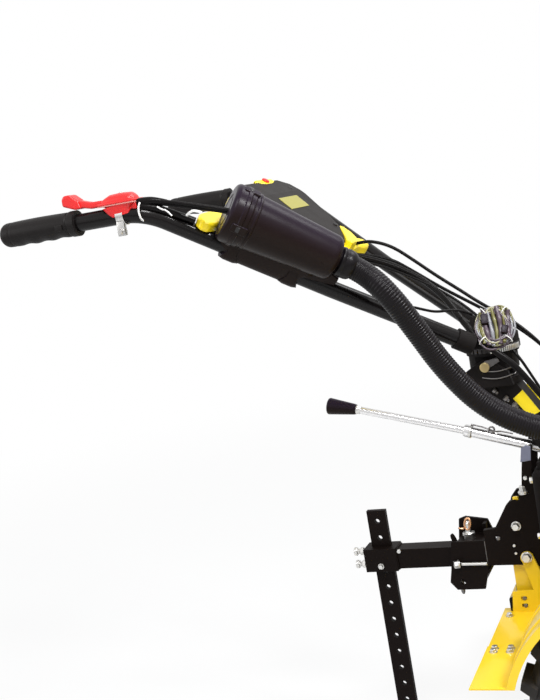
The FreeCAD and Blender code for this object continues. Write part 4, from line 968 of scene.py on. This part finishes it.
def gear_linkage():
    """Tapered knob and ferrule on the drawn rod, its collars, a spring wound twice and small fixings."""
    start = np.array([-530, 0, 643.5])
    end = np.array([-478, 0, 632])
    rod_end = np.array([-285, 0, 575.6])
    reach = np.linalg.norm(end - start)
    round_end = [(4 - 4 * math.cos(t), 11 + 4 * math.sin(t)) for t in quarter(6)]
    profile = [(0, 0)] + round_end + [(reach - 8, 10.2), (reach - 3, 9.6), (reach, 8.6), (reach, 4)]
    piece("gear_knob_turned", "chassis", BLACK_PLASTIC, [turned(profile, start, end - start, 40)],
          ["gear_knob"], 0.5)
    run = unit(rod_end - end)
    ferrule = [(-1, 6.4), (-1, 7.8), (4, 7.6), (5, 7), (7, 7), (8, 6.4)]
    over = np.array([0, -1, 0]) * 9
    top = unit(np.cross([0, 1, 0], run))
    top = top if top[2] > 0 else -top
    collars = [hoop([(-7, 6.6), (-7, 8.8), (-5.5, 9.8), (-2, 9.8), (-1, 8.6), (1, 8.6), (2, 11.4),
                     (6.5, 11.4), (8, 10), (8, 6.6)], rod_end, run, 48)]
    fixings("gear_rod_collars", "chassis", [hoop(ferrule, end, run, 40)] + collars)
    side = unit(over)

    def by_rod(along, above):
        """A place so far along the rod and above its line."""
        return rod_end + run * along + top * above
    t = np.linspace(0, 2 * TAU, 60)
    coil = (by_rod(40, 11.5) + over * 0.4 + (4.6 * np.cos(t))[:, None] * run
            + (4.6 * np.sin(t))[:, None] * top
            + (t / TAU * 2.4 - 2.4)[:, None] * side)
    first = smooth_line([by_rod(4, 12.6), by_rod(18, 12.5), by_rod(32, 11), coil[0] - top * 3 + run * 0.5,
                         coil[0]], 40)
    last = smooth_line([coil[-1], coil[-1] - top * 2 + run * 1.5, by_rod(56, 11.5), by_rod(76, 10.5)], 40)
    shells = [swept(line, 1.4, 10, tuple(side)) for line in (first, coil, last)]
    piece("gear_safety_spring", "chassis", DARK_ALLOY, shells, ())
    plates = [upright([(-196, 524), (-191.5, 548), (-183, 552.5), (-175.5, 550), (-178, 526)], -39.2, -37.6)]
    piece("lever_wear_plate", "chassis", BLUED, plates, (), 0.5)
    pins = hex_head((-181, PLATE_SIDE, 542), LEFTWARD, 11, 5, 7)
    pins += [turned([(-1, 3.6), (0.6, 3.6), (1.2, 2.8), (1.2, 0)], (-192, -PLATE_SIDE, 496), RIGHTWARD, 20)]
    pins += hex_head((-198, -33, 472), (-0.15, 0, 1), 13, 9, 10.5)
    pins += [hoop([(-3.4, 5), (-3.4, 9.6), (-1.4, 9.6), (-1.4, 5)], (-198, -33, 472), (-0.15, 0, 1), 32)]
    fixings("lever_fixings", "chassis", pins)


def hitch_fittings():
    """Pin with its spring clip, the cross rod, the latch, a light strip painted as the highlight on the
    cheek's fold, a small round head, and the plates' bolts.
    """
    x = HITCH_X
    pin = [(0, 0), (0, 5), (3.5, 7.8), (92, 7.8), (92, 9.4), (99, 9.4), (99, 10.8), (103, 10.8), (104, 10),
           (104, 6), (106, 5), (121, 5), (123.5, 3), (123.5, 0)]
    piece("hitch_pin_turned", "chassis", ZINC, [turned(pin, (x, 0, 291), UP, 44)], ["hitch_pin"],
          0.2)
    clip = oval((x + 1, -4, 411), (0.15, 0, 1), (1, -0.3, 0), 10.4, 5.8, 48)
    legs = [looped(clip, 1.9, 12, (0.3, 1, 0))]
    legs.append(wire([(x - 6, -5, 404), (x - 12, -6, 402), (x - 15, -7, 406)], 1.7, 24, 10))
    piece("hitch_spring_clip", "chassis", COPPER, legs, ())
    rod = [turned([(0, 0), (0, 3), (44, 3), (45, 2.2), (45, 0)], (-322, -39.2, 351), (1, 0, -0.02), 20)]
    rod += hex_head((-327, -39.5, 351.5), (-1, -0.45, 0), 12, 7, 7.6)
    piece("hitch_cross_rod", "chassis", ZINC, rod, (), 0.3)
    tip = [(0, 0), (0, 2), (4, 3.6), (20, 4.2), (34, 4.2), (34, 0)]
    piece("hitch_stop_tip", "chassis", DARK_ALLOY, [turned(tip, (-333, -15, 288), UP, 20)], ())
    latch = smooth_line([(-327, -20, 374), (-331, -20, 382), (-334, -20, 390), (-337, -20, 399)], 24)
    shells = [limb(latch, np.full(24, 5), graded(24, [0, 0.8, 1], [4.6, 3.8, 2.2]), 20, 3)]
    shells.append(upright([(-333, 324), (-322, 312), (-300, 312), (-296, 318), (-326, 334)], -30, -24))
    piece("hitch_latch", "chassis", BLACK_GLOSS, shells, (), 0.6)
    # A thin lighter strip of metal along the cheek's fold: a painted highlight standing in for the light that
    # the rounded fold catches
    fold_highlight_and_head = [swept(smooth_line([(-277.2, -35.6, 389), (-277.2, -35.8, 370), (-277.2, -35.6, 348)], 20), 0.9,
                  8)]
    fold_highlight_and_head.append(turned([(-0.5, 3.4), (1, 3.4), (1.6, 2.4), (1.6, 0)], (-252, -PLATE_SIDE, 394), RIGHTWARD,
                       20))
    piece("hitch_fold_highlight", "chassis", DARK_ALLOY, fold_highlight_and_head, ())
    bolts = hex_head((-219, -PLATE_SIDE, 414), RIGHTWARD, 12, 8, 8.4)
    bolts += studs((-219, PLATE_SIDE, 414), LEFTWARD, 16, 7, 14, 11.5)
    bolts += bolts_of(
        ((-208, -42, 359.5), RIGHTWARD, 14, 7, 9.6), ((-208, 42, 359.5), LEFTWARD, 14, 7, 9.6),
        ((-227, -PLATE_SIDE, 380), RIGHTWARD, 5, 2.5), ((-226, -PLATE_SIDE, 366), RIGHTWARD, 4.5, 2),
        ((-150, PLATE_SIDE, 420), LEFTWARD, 14, 7, 10))
    fixings("hitch_plate_bolts", "chassis", bolts)
    slots = []
    for side in (-1, 1):
        for z in (274, 287):
            slots += hex_head((-222, side * 40.5, z), (0, side, 0), 6.5, 3)
    fixings("fender_slot_bolts", "chassis", slots, DARK_ALLOY)
    pads = [block((-250, -39, 262), (-239, -29, 286), 3), block((-250, 29, 262), (-239, 39, 286), 3)]
    piece("fender_stay_pads", "chassis", CABLE_BLACK, pads, ())
    tab = [block((-219, -36, 457), (-209, -30, 464), 1.5)]
    piece("breather_cap", "chassis", YELLOW_PAINT, tab, ())


def stake_fittings():
    """Disc-headed clamp bolts behind the socket, side bolts and a weld at the end of the drawbar."""
    bolts = []
    for z in (DRAWBAR_Z - 12, DRAWBAR_Z + 12):
        head = [(-0.4, 0), (-0.4, 7), (0.6, 7.7), (4.6, 7.7), (5.6, 7), (5.6, 4.6), (9, 4.6), (9, 4.2)]
        shank = np.linspace(9, 23.2, 60)
        profile = head + [(v, 4.15 + 0.17 * math.sin(v * TAU / THREAD_PITCH)) for v in shank]
        bolts.append(turned(profile, (CLAMP_REAR - 23, 0, z), FORWARD, 28))
        bolts += hex_head((CLAMP_REAR - 6.2, 0, z), BACKWARD, 13, 6)
    fixings("stake_clamp_bolts", "drawbar", bolts)
    side = bolts_of(((-474, -CLAMP_HALF, 346), RIGHTWARD, 8, 4, 5.6),
                    ((-474, CLAMP_HALF, 346), LEFTWARD, 8, 4, 5.6), ((-437, -18, 372), RIGHTWARD, 7, 3))
    fixings("stake_side_bolts", "drawbar", side)
    t = turns(160)
    c, s = squared_off(t, 9)
    line = np.column_stack([-442.6 + 0.7 * np.sin(26 * t), 18.6 * c, DRAWBAR_Z + 18.6 * s])
    piece("clamp_weld", "drawbar", BLACK_GLOSS, [looped(line, 2, 10, FORWARD)], ())


def column_fittings():
    """Blank plates on the column, cable clips, the top's rolled edges, the ring's teeth and bolts."""
    face = [(-195, 630), (-177.5, 643.5), (-153.5, 604.5), (-171.5, 596.5)]
    piece("column_plate", "chassis", YELLOW_LABEL, [upright(face, -25, -24)], (), 0.3)
    piece("column_plate_left", "chassis", YELLOW_LABEL, [upright(face, 24, 25)], (), 0.3)
    clips = []
    for x, z, r in ((-223, 648, 4.2), (-206, 633, 5), (-193, 621, 5)):
        clips.append(hoop([(-2.4, r - 1.2), (-2.4, r), (2.4, r), (2.4, r - 1.2)], (x, -29, z),
                          (0.55, 0.2, -0.8), 28))
        clips += [pan_head((x + 3, -26, z - 5), RIGHTWARD, 2.6, 1.8)]
    fixings("column_cable_clips", "chassis", clips, DARK_ALLOY)
    rims = [wire([(-241, -38, z + 5), (-239, -46.5, z + 4), (-216, -47, z - 0.5), (-199, -47, z + 1),
                  (-182, -46, z + 6), (-178, -38, z + 7)], 0.9, 60, 8) for z in (671, 683)]
    piece("column_rolled_edges", "chassis", DARK_ALLOY, rims, ())
    arm = [upright([(-236, 694), (-228, 702), (-207, 706), (-204, 699), (-222, 690)], -47.8, -46)]
    arm += hex_head((-208, -47.8, 702), RIGHTWARD, 6, 3)
    piece("tilt_lock_arm", "chassis", DARK_ALLOY, arm, (), 0.4)
    teeth = []
    for a in np.radians(np.linspace(-82, -14, 16)):
        out = np.array([math.cos(a), math.sin(a), 0])
        place = np.array([COLUMN_X, 0, TURN_Z + 4]) + out * (RING_R + 0.4)
        teeth.append(block((-1.6, -1.4, -4.5), (1.6, 1.4, 4.5), 0.6, turn_to(out, UP), place))
    piece("ring_teeth", "handlebar", ZINC, teeth, ())
    foot = heads([(x, y, 527) for x in (-150, -46) for y in (-49, 49)], UP, 13, 8, 10)
    fixings("column_foot_bolts", "chassis", foot)
    yoke = heads([(-248, y, YOKE_TOP - 0.2) for y in (-34, 34)], UP, 10, 5, 8)
    fixings("yoke_bolts", "handlebar", yoke)


def blank_sign():
    """A bare plate on the slope of the lid."""
    a = console_point(105, 0, 56.5)
    b = console_point(138, 0, 52.6)
    along = unit(b - a)
    over = unit(np.cross(along, ACROSS))
    over = over if over[2] > 0 else -over
    outline = [(0, -32), (0, 58), (32, 52), (32, -38)]
    piece("lid_plate", "handlebar", SIGN_FILM, [slab(outline, -0.6, 0.7, a, along, ACROSS, over)], (),
          0.3)


def gearbox_fittings():
    """Cover bolts, clutch housing bolts, filler and drain plugs, a dipstick and stiffening ribs."""
    bolts = []
    for x, z, r, wide, count in ((0, 268, 33, 48, 5), (-70, 440, 46, 81, 6), (30, 452, 34, 81, 5)):
        for side in (-1, 1):
            places = oval((x, side * wide, z), FORWARD, UP, r - 8, r - 8, count, 0.5)
            bolts += heads(places, (0, side, 0), 10, 5, 6.6)
    bolts += heads(oval((142, 0, CRANK_Z), LEFTWARD, UP, 95, 95, 8, 0.39), BACKWARD, 9, 6)
    for side in (-1, 1):
        bolts += heads(oval((0, side * 64, WHEEL_Z), FORWARD, UP, 36, 36, 6), (0, side, 0), 8, 4)
    bolts += heads([(-174.8, y, z) for y in (-58, 58) for z in (402, 498)], BACKWARD, 10, 5, 7)
    bolts += hex_head((0, 0, 125.5), (0, 0, -1), 17, 7, 12)
    fixings("gearbox_bolts", "chassis", bolts)
    plug = [(-1, 0), (-1, 17), (3, 17), (4, 15), (12, 14), (14, 12), (14, 0)]
    dipstick = [(-1, 0), (-1, 7), (5, 7), (6, 9), (12, 9), (13, 7), (13, 0)]
    caps = [turned(plug, (58, 34, 515), UP, 36), turned(dipstick, (-10, -38, 515), UP, 28)]
    piece("gearbox_plugs", "chassis", BLACK_PLASTIC, caps, (), 0.4)
    ribs = []
    for side in (-1, 1):
        for x in (-128, -18, 74):
            ribs.append(block((x - 3, side * 77 - 4, 396), (x + 3, side * 77 + 4, 504), 2.5))
        for z in (300, 330):
            ribs.append(block((-60, side * 43 - 4, z - 3), (60, side * 43 + 4, z + 3), 2.5))
    for a in turns(10) + 0.2:
        out = np.array([0, math.cos(a), math.sin(a)])
        low = np.array([98, 0, CRANK_Z]) + out * 69
        high = np.array([140, 0, CRANK_Z]) + out * 90.5
        run = high - low
        ribs.append(block((-np.linalg.norm(run) / 2, -3, -4), (np.linalg.norm(run) / 2, 3, 4), 1.5,
                          turn_to(run, out), (low + high) / 2))
    piece("gearbox_ribs", "chassis", BLACK_CAST, ribs, ())


def wheel_fittings():
    """Disc bolts, the hub's cross bolt, a valve stem, and raised rings on the tyre's walls."""
    for side, tag in SIDES:
        out = (0, side, 0)
        places = oval((0, side * (WHEEL_Y + 7), WHEEL_Z), FORWARD, UP, 56, 56, 5, TAU / 10)
        shells = heads(places, out, 15, 8, 11)
        shells += hex_head((0, side * HUB_END, WHEEL_Z + 29), UP, 13, 7, 9)
        shells += studs((0, side * HUB_END, WHEEL_Z - 29), (0, 0, -1), 13, 7, 13, 9)
        shells += hex_head((0, side * 298.6, WHEEL_Z), out, 19, 6, 15)
        fixings("wheel_bolts_" + tag, "axle", shells)
        stem = [(0, 5.5), (4, 5.2), (14, 3.6), (15, 2.7), (20, 2.7), (20, 3.8), (27, 3.6), (28, 2), (28, 0)]
        piece("valve_stem_" + tag, "axle", TYRE_RUBBER,
              [turned(stem, (0, side * (WHEEL_Y + 20), WHEEL_Z + 84), (0, side, -0.35), 24)], ())
        walls = []
        for r, y in ((133, 48.6), (146, 49.2), (110, 38.4)):
            ridge = [(-1.6, r - 3), (0.7, r - 1.6), (0.7, r + 1.6), (-1.6, r + 3)]
            for face in (1, -1):
                centre = (0, side * (WHEEL_Y + face * y), WHEEL_Z)
                walls.append(hoop(ridge, centre, (0, face * side, 0), 96))
        piece("tyre_wall_rings_" + tag, "axle", TYRE_RUBBER, walls, ())
        disc = [hoop([(-1, 32), (3, 33), (4, 36), (2, 39), (-1, 40)], (0, side * (WHEEL_Y + 7), WHEEL_Z),
                     out, 72)]
        disc.append(hoop([(-3, 73), (2, 73.5), (4, 75.5), (3, 78.5), (-3, 79)],
                         (0, side * (WHEEL_Y + 7), WHEEL_Z), out, 96))
        piece("rim_pressings_" + tag, "axle", YELLOW_PAINT, disc, ())


def engine_fittings():
    """Leads, fuel line, governor spring, bolts, screws, fillers and the starter's hub, handle and fan."""
    xm = (BLOCK_X0 + BLOCK_X1) / 2
    zc = CRANK_Z + 55
    black = []
    black.append(turned([(-2, 7), (6, 9.5), (24, 9), (32, 7), (34, 4), (34, 0)], (172, -204, zc),
                        (-1, 0, 0.25), 28))
    black.append(wire([(142, -204, 493), (126, -202, 502), (118, -178, 522), (124, -120, 546),
                       (170, -96, 550), (240, -98, 550), (299, -98, 552)], 3.4, 90))
    black.append(wire([(196, -104, 641), (196, -108, 628), (198, -120, 618), (200, -136, 611),
                       (200, -142, 603)], 3.6, 60))
    black.append(wire([(222, -212, 522), (222, -214, 538), (220, -206, 556), (216, -190, 566),
                       (212, -175, 568)], 5.4, 60, 16))
    black.append(wire([(356, -72, 512), (352, -84, 500), (344, -100, 480), (340, -112, 470)], 2, 40, 10))
    piece("engine_leads", "chassis", CABLE_BLACK, black, ())
    alloy = [turned([(-3, 0), (-3, 10.5), (4, 10.5), (4, 8), (9, 8), (9, 0)], (174, -204, zc),
                    (-1, 0, 0.25), 6)]
    alloy.append(turned([(-1, 0), (-1, 9), (8, 9), (9, 6), (14, 5), (14, 0)], (196, -104, 641), (0, 0, -1),
                        24))
    alloy.append(block((188, -146, 603), (214, -120, 609), 2))
    alloy.append(block((170, -43, 544), (176, -33, 604), 2))
    piece("engine_alloy_fittings", "chassis", CAST_ALLOY, alloy, (), 0.3)
    t = np.linspace(0, 14 * TAU, 14 * 12)
    a = np.array([173, -40, 598])
    b = np.array([202, -124, 611])
    run = unit(b - a)
    f, g = square_to(run)
    coil = (a + 10 * run + (t / t[-1] * 62)[:, None] * run + 3.2 * np.cos(t)[:, None] * f
            + 3.2 * np.sin(t)[:, None] * g)
    zinc = [swept(coil, 0.6, 8, tuple(run)), wire([a, a + run * 5, coil[0]], 0.7, 20, 8),
            wire([coil[-1], b - run * 4, b], 0.7, 20, 8)]
    zinc.append(wire([a + [0, 0, -12], (188, -80, 600), b + [6, 0, -2]], 1.2, 40, 10))
    zinc += heads([(xm + sx * 34, HEAD_Y - 33.8, zc + sz * 30) for sx, sz in CORNERS], RIGHTWARD, 10, 6, 7.5)
    zinc += [pan_head((xm + sx * 74, 202, CRANK_Z + 102 + sz * 46), LEFTWARD, 5, 3) for sx, sz in CORNERS]
    zinc += heads(oval((352, 0, FAN_Z), LEFTWARD, UP, 84, 84, 6, 0.26), FORWARD, 6.5, 4)
    zinc += heads(oval((348, 0, FAN_Z), LEFTWARD, UP, 99, 99, 4, 0.8), FORWARD, 9, 5)
    zinc += heads([(x, y, 340) for x in (172, 278) for y in (-100.5, 100.5)], UP, 12, 7, 8)
    zinc += heads([(x, y, 330) for x in (345, 376) for y in (-85, 85)], UP, 12, 6, 9)
    zinc += [pan_head((x, y, 604), UP, 3.2, 2) for x in (176, 220) for y in (-168, -132)]
    zinc += heads([(xm + 20, 102, 495), (xm - 20, 102, 495)], LEFTWARD, 10, 6)
    piece("engine_fixings", "chassis", ZINC, zinc, (), 0.15)
    hub = [(-1, 0), (-1, 27), (2, 26), (5, 22), (6.5, 16), (7, 0)]
    handle = [(0, 0), (0, 8), (1.5, 10), (6, 10.4), (11, 8.8), (35, 8.8), (41, 10.4), (45, 9.6), (46, 7),
              (46, 0)]
    filler = [(-2, 0), (-2, 15.5), (5, 15.5), (6, 17), (14, 16), (16, 13), (16, 0)]
    caps = [turned(hub, (382, 0, FAN_Z), FORWARD, 48), turned(handle, (354, -72, FAN_Z + 88), FORWARD, 32),
            turned(filler, (185, 110, 371.5), (0, 36, 12), 32), block((262, -132, 546), (298, -102, 566), 4)]
    piece("engine_plastic_fittings", "chassis", BLACK_PLASTIC, caps, (), 0.3)
    switch = [block((300, 40, 541), (322, 62, 556), 3)]
    piece("engine_switch", "chassis", RED_PLASTIC, switch, ())
    fan = []
    for n in range(12):
        a = TAU * n / 12
        turn = turn_to((0.5, -math.sin(a), math.cos(a)), (0, math.cos(a), math.sin(a)))
        fan.append(block((-6, -1.5, -22), (6, 1.5, 22), 1.2, turn,
                         (376, 46 * math.cos(a), FAN_Z + 46 * math.sin(a))))
    piece("starter_fan", "chassis", DARK_ALLOY, fan, ())


def fender_fittings():
    """Bolts that hold each fender's tail to its shelf, and a stiffening bead along the crown."""
    for side, tag in SIDES:
        places = [(x, side * y, 265.4) for x in (-248, -222) for y in (197, 209)]
        under = [(x, side * 60, 263) for x in (-248, -170)]
        fixings("fender_bolts_" + tag, "chassis", heads(places + under, UP, 9, 4.5, 6.5))
        a = np.radians(np.linspace(45, 158, 80))
        beads = []
        for y in (-40, 40):
            line = np.column_stack([216.2 * np.cos(a), np.full(80, side * WHEEL_Y + y), WHEEL_Z
                                    + 216.2 * np.sin(a)])
            size = 2 * np.sqrt(np.clip(np.sin(np.linspace(0, math.pi, 80)) * 8, 0.02, 1))
            beads.append(swept(line, size, 14))
        piece("fender_beads_" + tag, "chassis", YELLOW_PAINT, beads, ())


# ---- camera, light and floor ---------------------------------------------------------------
def camera():
    """Looks along yaw and pitch, then turns about its own line of sight."""
    yaw, pitch, roll = (math.radians(v) for v in CAMERA_TURN)
    ahead = np.array([math.sin(yaw) * math.cos(pitch), math.cos(yaw) * math.cos(pitch), -math.sin(pitch)])
    level = np.array([math.cos(yaw), -math.sin(yaw), 0.0])
    over = np.cross(level, ahead)
    right = math.cos(roll) * level - math.sin(roll) * over
    up = math.sin(roll) * level + math.cos(roll) * over
    data = bpy.data.cameras.new("camera")
    data.sensor_width = 36.0
    data.lens = CAMERA_LENS
    eye = bpy.data.objects.new("camera", data)
    bpy.context.scene.collection.objects.link(eye)
    turn = np.eye(4)
    turn[:3, 0] = right
    turn[:3, 1] = up
    turn[:3, 2] = -ahead
    turn[:3, 3] = CAMERA_PLACE
    eye.matrix_world = Matrix(turn.tolist())
    bpy.context.scene.camera = eye


def lamp(name, place, aim, size, power):
    """A square soft light that faces a point."""
    data = bpy.data.lights.new(name, "AREA")
    data.shape = "SQUARE"
    data.size = size
    data.energy = power
    obj = bpy.data.objects.new(name, data)
    bpy.context.scene.collection.objects.link(obj)
    back = unit(np.array(place) - np.array(aim))
    side = unit(np.cross([0.0, 1.0, 0.001], back))
    turn = np.eye(4)
    turn[:3, 0] = side
    turn[:3, 1] = np.cross(back, side)
    turn[:3, 2] = back
    turn[:3, 3] = place
    obj.matrix_world = Matrix(turn.tolist())


def studio():
    """White world to the eye and in reflections, softer as light; a pale floor and four soft lamps."""
    world = bpy.data.worlds.new("studio")
    bpy.context.scene.world = world
    sky = Paint("studio", world)
    eye = sky.node("ShaderNodeLightPath", {}, {}, "Is Camera Ray")
    mirror = sky.node("ShaderNodeLightPath", {}, {}, "Is Glossy Ray")
    glass = sky.node("ShaderNodeLightPath", {}, {}, "Is Transmission Ray")
    soft = sky.node("ShaderNodeBackground", {}, {"Color": (0.94, 0.97, 1.0, 1.0), "Strength": 0.50})
    white = sky.node("ShaderNodeBackground", {}, {"Color": (1.0, 1.0, 1.0, 1.0)})
    sky.close(sky.node("ShaderNodeMixShader", {}, {0: (eye + mirror + glass).limited(), 1: soft, 2: white}),
              "ShaderNodeOutputWorld")
    floor = bpy.data.meshes.new("floor")
    floor.from_pydata([(-30, -30, 0), (30, -30, 0), (30, 30, 0), (-30, 30, 0)], [], [(0, 1, 2, 3)])
    ground = bpy.data.objects.new("floor", floor)
    bpy.context.scene.collection.objects.link(ground)
    p = Paint("pale_floor")
    mottle = p.noise(3.0, 4.0, 0.6)
    tone = p.blend(mottle, (0.86, 0.86, 0.855), (0.82, 0.82, 0.82))
    plain = p.node("ShaderNodeBsdfDiffuse", {}, {"Color": tone})
    glow = p.node("ShaderNodeEmission", {}, {"Color": (1.0, 1.0, 1.0, 1.0), "Strength": 1.0})
    eye = p.node("ShaderNodeLightPath", {}, {}, "Is Camera Ray")
    away = p.node("ShaderNodeVectorMath", {"operation": "LENGTH"}, {0: p.places()}, "Value")
    share = p.step(away, *FLOOR_FADE) * (FLOOR_WHITE[1] - FLOOR_WHITE[0]) + FLOOR_WHITE[0]
    p.close(p.node("ShaderNodeMixShader", {}, {0: eye * share, 1: plain, 2: glow}))
    floor.materials.append(p.material)
    lamp("key", (0.1, -1.9, 3.3), (-0.1, 0.0, 0.6), 0.7, 54.0)
    lamp("fill", (-2.7, -1.8, 1.9), (-0.1, 0.0, 0.6), 1.2, 20.0)
    lamp("streak", (1.55, -0.95, 2.6), (-0.2, -0.1, 0.9), 0.40, 62.0)
    lamp("back", (0.9, 1.2, 3.0), (-0.2, 0.0, 0.8), 1.0, 24.0)
    bpy.context.scene.view_settings.view_transform = "Standard"


carried_over()
grips()
hose_start, hose_run = air_filter()
intake_hose(hose_start, hose_run)
control_cables()
throttle()
console_fittings()
blank_sign()
wire_loops()
column_fittings()
gear_linkage()
hitch_fittings()
stake_fittings()
gearbox_fittings()
wheel_fittings()
engine_fittings()
fender_fittings()
camera()
studio()
